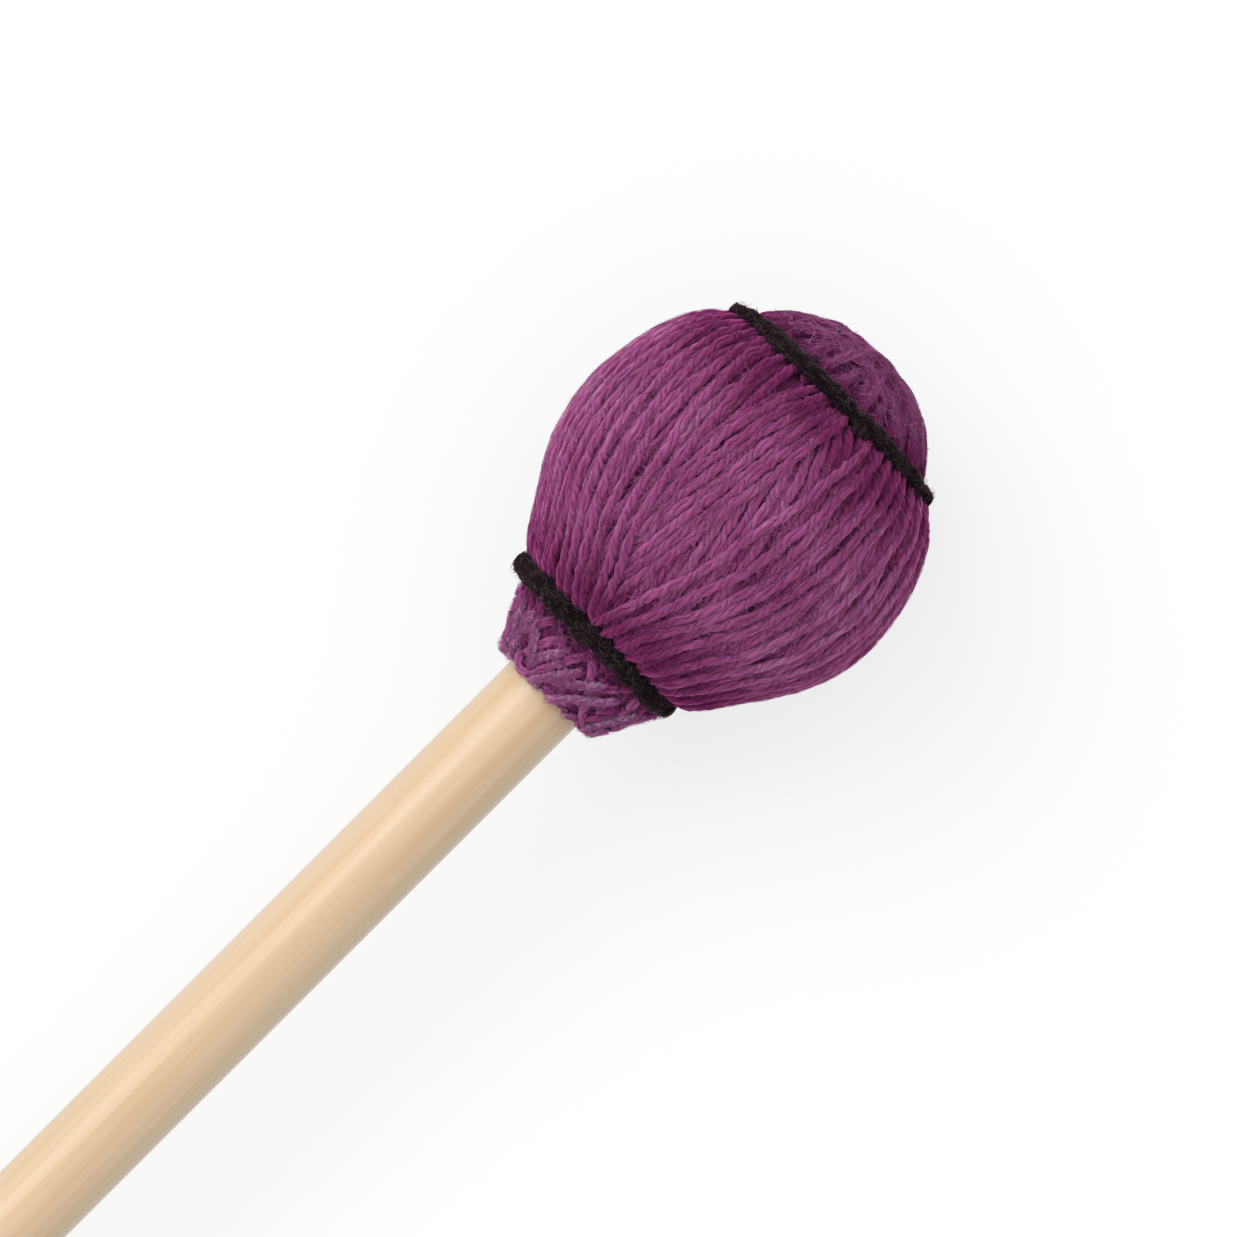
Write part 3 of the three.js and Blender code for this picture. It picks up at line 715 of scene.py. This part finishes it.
def tubes(name, points, outs, radius, sides, shade, material):
    """Closed tubes along rows of points, with rings of corners: each is the point plus the radius
    times (cos t, sin t) along the normal and across. Radius and shade are one number, or one for
    each row or point."""
    count, steps = points.shape[:2]
    _, out, across = frames(points, outs)
    radius = np.broadcast_to(radius, (count, steps))[:, :, None, None]
    turn = (np.arange(sides) * TURN / sides)[None, None, :, None]
    ring = np.cos(turn) * out[:, :, None, :] + np.sin(turn) * across[:, :, None, :]
    vertices = pressed((points[:, :, None, :] + radius * ring).reshape(-1, 3))
    girth = TURN * float(np.mean(radius)) / sides
    coordinates = ring_coordinates(run_lengths(points), girth, sides)
    shades = np.repeat(np.broadcast_to(shade, (count, steps)).ravel(), sides)
    return mesh_piece(name, vertices, ring_faces(count, steps, sides), coordinates, shades, material)


def lathe(name, along, radius, sides, material):
    """A closed surface of revolution: a profile, given from the butt's side to the crown's,
    turned round the axis, with a flat face across either end. Its shade is even."""
    count = len(along)
    turn = np.arange(sides) * TURN / sides
    vertices = around(np.repeat(along, sides), np.repeat(radius, sides), np.tile(turn, count))
    run = np.concatenate([[0], np.cumsum(np.hypot(np.diff(along), np.diff(radius)))])
    girth = TURN * float(radius.max()) / sides
    coordinates = ring_coordinates(run[None, :], girth, sides)
    shades = np.full(len(vertices), 0.5)
    return mesh_piece(name, vertices, ring_faces(1, count, sides), coordinates, shades, material)


def ribbons(name, points, outs, half_width, shade, material):
    """Flat ribbons along rows of points, lying flat to the directions outwards: either edge is
    half the width from the points, across."""
    count, steps = points.shape[:2]
    _, _, across = frames(points, outs)
    edges = np.stack([points - half_width * across, points + half_width * across], axis=2)
    here = (np.arange(count) * steps * 2)[:, None] + (np.arange(steps - 1) * 2)[None, :]
    quads = np.stack([here, here + 1, here + 3, here + 2], axis=-1).reshape(-1, 4)
    shades = np.repeat(np.broadcast_to(shade, (count, 1)).ravel(), steps * 2)
    coordinates = np.zeros((quads.size, 2))
    return mesh_piece(name, pressed(edges.reshape(-1, 3)), [quads], coordinates, shades, material)


def stitch_nearness(along):
    """How near the stitches the yarn lies, one at a stitch and none far from both: the mask of the
    painted shade in the hollow that each stitch pulls in. It reaches further over the ball than
    over the collar and the crown."""
    ball = (along > RING_AT["neck"]) & (along < RING_AT["crown"])
    reach = np.where(ball, STITCH_REACH["ball"], STITCH_REACH["ends"])
    return sum(bell(along, at, reach) for at in RING_AT.values())


def wound_yarn(name, strands, material, shadow=0.5, lighter=0.0):
    """Strands of the plum yarn as one piece. Each has its own shade, lighter by some amount (painted
    light, for the outermost passes of the collar), and darker with painted shade: near a stitch,
    in the hollow that it pulls in, and, by the shadow, where it lies deep under other passes."""
    plies, outs = plied(
        strands, PLY_RADIUS, STRAND_RADIUS, TWIST_LENGTH, STRAND_THINNING, STRAND_WIDENING
    )
    deep = np.minimum(strands[..., 6] / PILE_ROOM, 1)
    near_stitch = stitch_nearness(strands[..., 0])
    # Painted shade: darker near a stitch, in its hollow, and where the yarn lies deep; lighter adds painted
    # light on the collar's outermost passes.
    shade = rng.random((len(strands), 1)) - STITCH_PAINTED_SHADE * near_stitch
    shade = shade - shadow * deep - STITCH_DEEP_PAINTED_SHADE * near_stitch * deep
    shade = shade + np.broadcast_to(lighter, len(strands))[:, None]
    shade = shade + waves(*shade.shape, cycles=5, size=SHADE_DRIFT)
    shade = np.tile(shade, (PLIES, 1))
    radius = PLY_RADIUS * (1 + waves(*plies.shape[:2], cycles=6, size=PLY_SWELL))
    piece = tubes(name, plies, outs, radius, PLY_SIDES, shade, material)
    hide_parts("outer_winding")


def fuzz(name, strands, radius, material, count, lift, reach, half_width=FIBRE_HALF_WIDTH, darkening=1.0):
    """Loose fibres: fine hairs that leave the back of a strand of some radius, bow over the yarn
    and lie down again, each rolled a little about its own length. At a share u of its half
    length from its middle, a hair is its bow times (1 - u^2) over the strand, less the fall of the
    head's surface, which is the square of the way over FIBRE_FALL times the mean distance from
    the axis. Sideways it bends with u^2 and u^3. Lift is the highest bow and reach the longest
    half. Deep strands have none, nor has yarn near a stitch, unless the darkening is none. That
    darkening is painted shade: near a stitch the hairs are painted darker, as the yarn there is."""
    bend = FIBRE_FALL * float(np.hypot(strands[..., 1], strands[..., 2]).mean())
    points = strands[..., :3]
    ahead, out, across = frames(points, strands[..., 3:6])
    near_stitch = darkening * stitch_nearness(strands[..., 0])
    spots = np.argwhere((strands[..., 6] < FIBRE_DEPTH) & (near_stitch < FIBRE_NEAR_STITCH))
    spots = spots[rng.integers(0, len(spots), count)]
    pick = (spots[:, 0], spots[:, 1])
    ahead, out, across = ahead[pick][:, None], out[pick][:, None], across[pick][:, None]
    turn = rng.normal(0, FIBRE_TURN, (count, 1, 1))
    direction = np.cos(turn) * ahead + np.sin(turn) * across
    sideways = np.cos(turn) * across - np.sin(turn) * ahead
    u = np.linspace(-1, 1, FIBRE_STEPS)[None, :, None]
    half = reach * rng.uniform(FIBRE_SHORTEST, 1, (count, 1, 1))
    curl = rng.normal(0, FIBRE_CURL, (count, 1, 1)) * half
    twist = rng.normal(0, FIBRE_TWIST, (count, 1, 1)) * half
    bow = lift * rng.uniform(0, 1, (count, 1, 1)) ** 2
    height = bow * (1 - u ** 2) - (u * half) ** 2 / bend - FIBRE_ROOT
    aside = rng.normal(0, FIBRE_ASIDE, (count, 1, 1))
    back = points[pick][:, None] + radius * (aside * across + (1 - BACK_FALL * aside ** 2) * out)
    lines = back + direction * half * u + sideways * (curl * u ** 2 + twist * u ** 3)
    lines = lines + out * height
    roll = rng.uniform(-FIBRE_ROLL, FIBRE_ROLL, (count, 1, 1))
    outs = np.broadcast_to(np.cos(roll) * out + np.sin(roll) * sideways, lines.shape)
    # Painted shade: hairs near a stitch are darker, like the yarn in its hollow.
    shade = rng.random((count, 1)) - darkening * stitch_nearness(back[:, :, 0])
    return ribbons(name, lines, outs, half_width, shade, material)


def yarn_fuzz(name, strands, material, **hairs):
    """Loose fibres of the plum yarn as one piece."""
    piece = fuzz(name, strands, STRAND_RADIUS, material, **hairs)
    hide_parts("outer_winding")


def linear(colour):
    """A hex sRGB colour as linear red, green, blue and alpha."""
    values = [int(colour[i:i + 2], 16) / 255 for i in (1, 3, 5)]
    return [v / 12.92 if v <= 0.04045 else ((v + 0.055) / 1.055) ** 2.4 for v in values] + [1]


def add(tree, kind, settings=None, inputs=None):
    """Adds a node, sets its settings, and fills or links its inputs."""
    node = tree.nodes.new(kind)
    for name, value in (settings or {}).items():
        setattr(node, name, value)
    for name, value in (inputs or {}).items():
        if isinstance(value, bpy.types.NodeSocket):
            tree.links.new(value, node.inputs[name])
        else:
            node.inputs[name].default_value = value
    return node


def new_material(name):
    """An empty material and its node tree."""
    material = bpy.data.materials.new(name)
    material.use_nodes = True
    material.node_tree.nodes.clear()
    return material, material.node_tree


def finish_material(tree, shader):
    """Puts a shader on the surface."""
    add(tree, "ShaderNodeOutputMaterial", inputs={"Surface": shader.outputs[0]})


def ramp(tree, factor, stops):
    """A colour ramp through (place, hex colour) stops."""
    node = add(tree, "ShaderNodeValToRGB", inputs={"Fac": factor})
    elements = node.color_ramp.elements
    while len(elements) < len(stops):
        elements.new(1)
    for element, (at, colour) in zip(elements, stops):
        element.position = at
        element.color = linear(colour)
    return node.outputs["Color"]


def weighted(tree, parts):
    """Adds up values that vary about a half, each times its weight, so that the sum does too."""
    total = 0.5 - 0.5 * sum(weight for _, weight in parts)
    for value, weight in parts:
        node = add(tree, "ShaderNodeMath", {"operation": "MULTIPLY_ADD"}, {
            0: value, 1: weight, 2: total,
        })
        total = node.outputs[0]
    return total


def plied_wool(name, deep, middle, light, tips, sheen):
    """Plied wool-blend yarn, spun and twisted: matt and soft, as light goes in and out of it, with
    a faint sheen in the colour of the fibres' tips. Its fibres are 0.03 mm thick, too fine to
    show, so they are drawn 0.1 mm apart. They run along each ply on a slant, and the dye takes
    unevenly, from strand to strand and in patches. The strands' shade also holds painted shade
    and painted light, where the pieces put them."""
    material, tree = new_material(name)
    coordinates = add(tree, "ShaderNodeTexCoord")
    along = add(tree, "ShaderNodeMapping", {"vector_type": "POINT"}, {
        "Vector": coordinates.outputs["UV"],
        "Rotation": (0, 0, math.radians(FIBRE_SLANT)),
        "Scale": (1 / FIBRE_LENGTH, 1 / FIBRE_WIDTH, 1),
    })
    fibres = add(tree, "ShaderNodeTexNoise", {"noise_dimensions": "2D"}, {
        "Vector": along.outputs["Vector"], "Scale": 1.0, "Detail": 3.0, "Roughness": 0.6,
    })
    patches = add(tree, "ShaderNodeTexNoise", {"noise_dimensions": "3D"}, {
        "Vector": coordinates.outputs["Object"], "Scale": 1 / (DYE_PATCH * MM), "Detail": 2.0,
    })
    shade = add(tree, "ShaderNodeAttribute", {"attribute_name": "shade"})
    total = weighted(tree, [
        (fibres.outputs["Fac"], 0.4), (shade.outputs["Fac"], 0.2), (patches.outputs["Fac"], 0.4),
    ])
    colour = ramp(tree, total, [(0.2, deep), (0.5, middle), (0.8, light)])
    bump = add(tree, "ShaderNodeBump", inputs={
        "Strength": 0.5, "Distance": FIBRE_RELIEF * MM, "Height": fibres.outputs["Fac"],
    })
    shader = add(tree, "ShaderNodeBsdfPrincipled", inputs={
        "Base Color": colour,
        "Roughness": 0.9,
        "Specular IOR Level": 0.1,
        "Subsurface Weight": 1.0,
        "Subsurface Radius": (1.0, 0.6, 0.8),
        "Subsurface Scale": LIGHT_DEPTH * MM,
        "Sheen Weight": sheen,
        "Sheen Roughness": 0.5,
        "Sheen Tint": linear(tips),
        "Normal": bump.outputs["Normal"],
    })
    finish_material(tree, shader)
    return material


def loose_fibres(name, stops):
    """Loose ends of wool fibre, from dark to light through the stops of a ramp: thin enough that
    light comes through them, so that they soften the yarn like a haze."""
    material, tree = new_material(name)
    shade = add(tree, "ShaderNodeAttribute", {"attribute_name": "shade"})
    colour = ramp(tree, shade.outputs["Fac"], stops)
    front = add(tree, "ShaderNodeBsdfDiffuse", inputs={"Color": colour})
    through = add(tree, "ShaderNodeBsdfTranslucent", inputs={"Color": colour})
    shader = add(tree, "ShaderNodeMixShader", inputs={
        0: 0.4, 1: front.outputs[0], 2: through.outputs[0],
    })
    finish_material(tree, shader)
    return material


def lacquered_rattan():
    """Peeled rattan cane, sanded and thinly lacquered: pale straw with a satin gloss. Its fibre
    bundles, 0.3 mm across and many millimetres long, show as faint streaks along the shaft."""
    material, tree = new_material("lacquered_rattan")
    coordinates = add(tree, "ShaderNodeTexCoord")
    straight = add(tree, "ShaderNodeMapping", {"vector_type": "POINT"}, {
        "Vector": coordinates.outputs["Object"],
        "Rotation": (0, math.asin(AXIS[2]), 0),
    })
    streak_space = add(tree, "ShaderNodeMapping", {"vector_type": "POINT"}, {
        "Vector": straight.outputs["Vector"], "Scale": (1 / CANE_STRETCH, 1, 1),
    })
    streaks = add(tree, "ShaderNodeTexNoise", inputs={
        "Vector": streak_space.outputs["Vector"], "Scale": 1 / (CANE_STREAK * MM), "Detail": 3.0,
    })
    bands = add(tree, "ShaderNodeTexNoise", inputs={
        "Vector": streak_space.outputs["Vector"], "Scale": 1 / (CANE_BAND * MM), "Detail": 2.0,
    })
    total = weighted(tree, [(streaks.outputs["Fac"], 0.5), (bands.outputs["Fac"], 0.8)])
    colour = ramp(tree, total, [(0.25, "#d8b88f"), (0.5, "#e1c5a1"), (0.75, "#e7cfb2")])
    bump = add(tree, "ShaderNodeBump", inputs={
        "Strength": 0.25, "Distance": CANE_RELIEF * MM, "Height": streaks.outputs["Fac"],
    })
    shader = add(tree, "ShaderNodeBsdfPrincipled", inputs={
        "Base Color": colour,
        "Roughness": 0.25,
        "IOR": 1.5,
        "Specular IOR Level": 0.65,
        "Subsurface Weight": 0.3,
        "Subsurface Radius": (1.0, 0.5, 0.25),
        "Subsurface Scale": 1.0 * MM,
        "Normal": bump.outputs["Normal"],
    })
    finish_material(tree, shader)
    return material


def plain_rubber(name, dark, light, roughness):
    """Rubber as it leaves the mould or the roll: even, matt, faintly mottled."""
    material, tree = new_material(name)
    coordinates = add(tree, "ShaderNodeTexCoord")
    mottle = add(tree, "ShaderNodeTexNoise", inputs={
        "Vector": coordinates.outputs["Object"], "Scale": 1 / (RUBBER_MOTTLE * MM), "Detail": 4.0,
    })
    shader = add(tree, "ShaderNodeBsdfPrincipled", inputs={
        "Base Color": ramp(tree, mottle.outputs["Fac"], [(0.3, dark), (0.7, light)]),
        "Roughness": roughness,
    })
    finish_material(tree, shader)
    return material


def make_shaft():
    """The shaft: a rod whose butt is rounded by a quarter circle and whose tip is bevelled."""
    butt, tip = SHAFT_RANGE
    turn = np.linspace(0, math.pi / 2, BUTT_STEPS)
    middle = np.linspace(butt + BUTT_ROUNDING, tip - TIP_BEVEL, SHAFT_STEPS)[1:]
    along = np.concatenate([butt + BUTT_ROUNDING * (1 - np.cos(turn)), middle, [tip]])
    radius = np.concatenate([
        SHAFT_RADIUS - BUTT_ROUNDING * (1 - np.sin(turn)),
        np.full(len(middle), SHAFT_RADIUS),
        [SHAFT_RADIUS - TIP_BEVEL],
    ])
    shaft = lathe("rattan_shaft", along, radius, ROUND_SIDES, lacquered_rattan())
    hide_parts("shaft")


def wind_ball(plum, loose):
    """The passes over the ball, from under one stitch to under the other, and their fibres."""
    start, end = RING_LENGTH["neck"] - TUCK, RING_LENGTH["crown"] + TUCK
    strands = np.array(ball_passes(Barrel(start, end, BALL_STEP, BALL_COLUMNS)))
    for k in range(0, len(strands), PIECE_PASSES):
        wound_yarn(f"ball_yarn_{k // PIECE_PASSES + 1}", strands[k:k + PIECE_PASSES], plum)
    for k in (1, 2):
        yarn_fuzz(f"ball_fuzz_{k}", strands, loose, count=9000, lift=0.1, reach=1.3)


def wind_collar(plum, loose):
    """The passes at the collar, with painted light on the outermost of them, and their fibres."""
    patch = Barrel(COLLAR_START, RING_LENGTH["neck"] + TUCK, COLLAR_STEP, COLLAR_COLUMNS)
    strands = resampled(collar_passes(patch), COLLAR_POINTS)
    # Painted light: the outermost passes are painted lighter, as lit on top.
    lighter = np.where(np.arange(len(strands)) < len(COLLAR_TOP), *COLLAR_PAINTED_LIGHT)
    wound_yarn("collar_yarn", strands, plum, shadow=3.4, lighter=lighter)
    yarn_fuzz("collar_fuzz", strands, loose, count=2600, lift=0.05, reach=0.9)


def wind_crown(plum, loose):
    """The passes over the crown, their fibres, and the longer fibres felted over them."""
    edge = float(outline.at(RING_LENGTH["crown"] - CAP_TUCK)[1])
    strands = resampled(crown_passes(Cap(edge + CAP_MARGIN, CAP_STEP), edge), CAP_POINTS)
    wound_yarn("crown_yarn_1", strands[::2], plum, shadow=2.3, lighter=0.1)
    wound_yarn("crown_yarn_2", strands[1::2], plum, shadow=2.3, lighter=0.1)
    yarn_fuzz("crown_fuzz", strands, loose, count=5000, lift=0.1, reach=1.3)
    yarn_fuzz("crown_felt", strands, loose, count=900, lift=0.07, reach=2.0, half_width=0.035)


def wind_under(dark):
    """The hidden winding, as the outline drawn in by its depth and by the stitches, turned round
    the axis. It shows in the gaps of the others, in a darker yarn that is painted shade."""
    length = np.linspace(outline.length_at(UNDER_DEPTH), outline.length[-1] - UNDER_END, UNDER_STEPS)
    along, radius, normal_along, normal_out = outline.at(length)
    depth = UNDER_DEPTH + groove(length)
    least = np.where(along < BELLY_AT, SHAFT_RADIUS + UNDER_WALL, 0)
    radius = np.maximum(radius - normal_out * depth, least)
    under = lathe("under_winding", along - normal_along * depth, radius, ROUND_SIDES, dark)
    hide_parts("inner_winding")


def make_winding():
    """The head's yarn: the ball, the collar, the crown, and the winding hidden under them."""
    plum = plied_wool(
        "plum_wool_yarn", deep="#762459", middle="#a65088", light="#c47fac", tips="#e2a0c8", sheen=0.25
    )
    # The hidden winding's yarn is darker: painted shade for the gaps in which it shows.
    dark = plied_wool(
        "plum_wool_under_yarn_painted_shade", deep="#4c183c", middle="#602650", light="#74355f", tips="#8c4276", sheen=0.1
    )
    loose = loose_fibres("loose_plum_wool_fibres", [(0.0, "#8a3a75"), (1.0, "#c27eae")])
    wind_ball(plum, loose)
    wind_collar(plum, loose)
    wind_crown(plum, loose)
    wind_under(dark)


def stitches(name):
    """A ring of back stitches: each comes up out of the yarn, runs round on a slant over the end
    of the one before, and goes down again, with the square of its way into the dive."""
    count, radius = STITCHES[name], THREAD_RADIUS[name]
    u = np.linspace(-0.5, 0.5, STITCH_STEPS)
    sink = 1 - np.clip((0.5 - np.abs(u)) / STITCH_DIVE, 0, 1)
    strands = []
    for k in range(count):
        angle = TURN * (k + STITCH_STAGGER * rng.random()) / count + TURN / count * STITCH_LENGTH * u
        along = RING_AT[name] + THREAD_SHIFT[name] - RING_LEAN[name] * np.cos(angle)
        along = along + STITCH_SLANT[name] * u + rng.normal(0, STITCH_SCATTER)
        along = along + wobble(STITCH_STEPS, STITCH_SWAY)
        out = THREAD_OUTER[name] - radius - STITCH_SINK * sink ** 2 - STITCH_FALL * (0.5 + u)
        out = out + wobble(STITCH_STEPS, STITCH_SCATTER)
        points = around(along, out, angle)
        points[:, 1] -= RING_SIDE[name]
        normals = around(np.zeros(STITCH_STEPS), np.ones(STITCH_STEPS), angle)
        strands.append(np.column_stack([points, normals, np.zeros(STITCH_STEPS)]))
    return np.array(strands)


def knot(name):
    """A stitch's knot, beside the ring: a thread that goes round the one that it ties, as a helix
    of a few turns, whose ends sink with the fourth power of the way from its middle."""
    u = np.linspace(-1, 1, STITCH_STEPS)
    coil = KNOT_TURNS / 2 * TURN * u
    angle = math.radians(KNOT_AT[name]) + KNOT_HALF_LENGTH * u / THREAD_OUTER[name]
    along = RING_AT[name] + THREAD_SHIFT[name] - RING_LEAN[name] - KNOT_ASIDE
    along = along + KNOT_HALF_WIDTH * np.cos(coil)
    out = THREAD_OUTER[name] - KNOT_DEPTH + KNOT_HALF_HEIGHT * np.sin(coil) - KNOT_END_SINK * u ** 4
    normals = around(np.cos(coil), np.sin(coil), angle)
    return np.column_stack([around(along, out, angle), normals, np.zeros(STITCH_STEPS)])[None]


def thread_piece(name, strands, radius, material):
    """Strands of thread as one piece, each in its own shade from 0.2 to 0.6."""
    plies, outs = plied(strands, radius / 2, radius, THREAD_TWIST * radius)
    thickness = radius * THREAD_PLY * (1 + waves(*plies.shape[:2], cycles=3, size=PLY_SWELL))
    shade = np.tile(0.2 + 0.4 * rng.random((len(strands), 1)), (PLIES, 1))
    return tubes(name, plies, outs, thickness, THREAD_SIDES, shade, material)


def make_thread():
    """The two rings of stitches, each with its knot and its loose fibres."""
    black = plied_wool(
        "black_wool_thread", deep="#0e0a0b", middle="#2a1e22", light="#6a5b60", tips="#66545a", sheen=0.14
    )
    lint = loose_fibres("loose_black_wool_fibres", [
        (0.0, "#171012"), (0.75, "#32272b"), (1.0, "#7a6c70"),
    ])
    for name, radius in THREAD_RADIUS.items():
        ring = stitches(name)
        parts = [
            thread_piece(f"{name}_thread", ring, radius, black),
            thread_piece(f"{name}_thread_knot", knot(name), KNOT_RADIUS, black),
            fuzz(f"{name}_thread_fuzz", ring, radius, lint, count=6000, lift=0.1, reach=0.42, darkening=0),
        ]
        for part in parts:
            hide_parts(f"{name}_stitch", f"{name}_knot")


def dress_inside():
    """Gives the core and the latex jacket, which stay as the CAD made them, their materials."""
    core = plain_rubber("moulded_black_rubber", dark="#262427", light="#302e31", roughness=0.75)
    latex = plain_rubber("stretched_latex_tape", dark="#cdb680", light="#dccb9c", roughness=0.55)
    for node, material in (("core", core), ("latex_jacket", latex)):
        frame["nodes"][node].data.materials.clear()
        frame["nodes"][node].data.materials.append(material)


def seen_directly(tree):
    """One for rays from the camera, from gloss and through glass, none for those that light."""
    ray = add(tree, "ShaderNodeLightPath")
    total = ray.outputs["Is Camera Ray"]
    for kind in ("Is Glossy Ray", "Is Transmission Ray"):
        total = add(tree, "ShaderNodeMath", {"operation": "ADD"}, {
            0: ray.outputs[kind], 1: total,
        }).outputs[0]
    return total


def make_floor():
    """A floor that is pale grey as it lights the mallet. Seen directly it is white, part paint and
    part glow, so that the mallet's shadow still shows on it."""
    material, tree = new_material("white_floor")
    grey = add(tree, "ShaderNodeBsdfDiffuse", inputs={"Color": linear("#cccccc")})
    white = add(tree, "ShaderNodeBsdfDiffuse", inputs={"Color": linear("#ffffff")})
    glow = add(tree, "ShaderNodeEmission", inputs={"Color": linear("#ffffff"), "Strength": 1.0})
    clean = add(tree, "ShaderNodeMixShader", inputs={
        0: FLOOR_GLOW_SHARE, 1: white.outputs[0], 2: glow.outputs[0],
    })
    shader = add(tree, "ShaderNodeMixShader", inputs={
        0: seen_directly(tree), 1: grey.outputs[0], 2: clean.outputs[0],
    })
    finish_material(tree, shader)
    mesh = bpy.data.meshes.new("floor")
    half = FLOOR_HALF * MM
    corners = [(-half, -half, 0), (half, -half, 0), (half, half, 0), (-half, half, 0)]
    mesh.from_pydata(corners, [], [(0, 1, 2, 3)])
    mesh.materials.append(material)
    floor = bpy.data.objects.new("floor", mesh)
    bpy.context.scene.collection.objects.link(floor)


def make_sky():
    """A white sky, which lights the mallet more from overhead and from the key's side, and is
    plain white where it is seen directly."""
    world = bpy.data.worlds.new("sky")
    world.use_nodes = True
    tree = world.node_tree
    tree.nodes.clear()
    direction = add(tree, "ShaderNodeTexCoord")
    parts = add(tree, "ShaderNodeSeparateXYZ", inputs={0: direction.outputs["Generated"]})
    level = add(tree, "ShaderNodeMath", {"operation": "MULTIPLY_ADD"}, {
        0: parts.outputs["Y"], 1: SKY_LEVEL * SKY_SLOPE, 2: SKY_LEVEL * (1 - SKY_RISE / 2),
    })
    level = add(tree, "ShaderNodeMath", {"operation": "MULTIPLY_ADD"}, {
        0: parts.outputs["Z"], 1: SKY_LEVEL * SKY_RISE, 2: level.outputs[0],
    })
    sky = add(tree, "ShaderNodeBackground", inputs={
        "Color": linear("#ffffff"), "Strength": level.outputs[0],
    })
    plain = add(tree, "ShaderNodeBackground", inputs={"Color": linear("#ffffff")})
    shader = add(tree, "ShaderNodeMixShader", inputs={
        0: seen_directly(tree), 1: sky.outputs[0], 2: plain.outputs[0],
    })
    add(tree, "ShaderNodeOutputWorld", inputs={"Surface": shader.outputs[0]})
    bpy.context.scene.world = world


def make_key():
    """A broad, soft lamp from the picture's upper left."""
    lamp = bpy.data.lights.new("key", "SUN")
    lamp.energy = KEY_POWER
    lamp.angle = math.radians(KEY_SPREAD)
    key = bpy.data.objects.new("key", lamp)
    key.rotation_euler = (math.radians(-KEY_TILT), 0, 0)
    bpy.context.scene.collection.objects.link(key)


def make_camera():
    """A camera straight above the mallet, as high as the lens needs for the width of the view."""
    aim = to_world(np.array([AIM_ALONG, 0, 0]))
    camera = bpy.data.objects.new("camera", bpy.data.cameras.new("camera"))
    camera.data.lens = LENS
    camera.data.sensor_width = SENSOR
    camera.location = (aim[0], aim[1], aim[2] + VIEW_WIDTH * MM * LENS / SENSOR)
    camera.rotation_euler = (0, 0, math.radians(CAMERA_TURN))
    bpy.context.scene.collection.objects.link(camera)
    bpy.context.scene.camera = camera


bpy.context.scene.view_settings.view_transform = "Standard"
make_camera()
make_floor()
make_sky()
make_key()
make_shaft()
make_winding()
make_thread()
dress_inside()
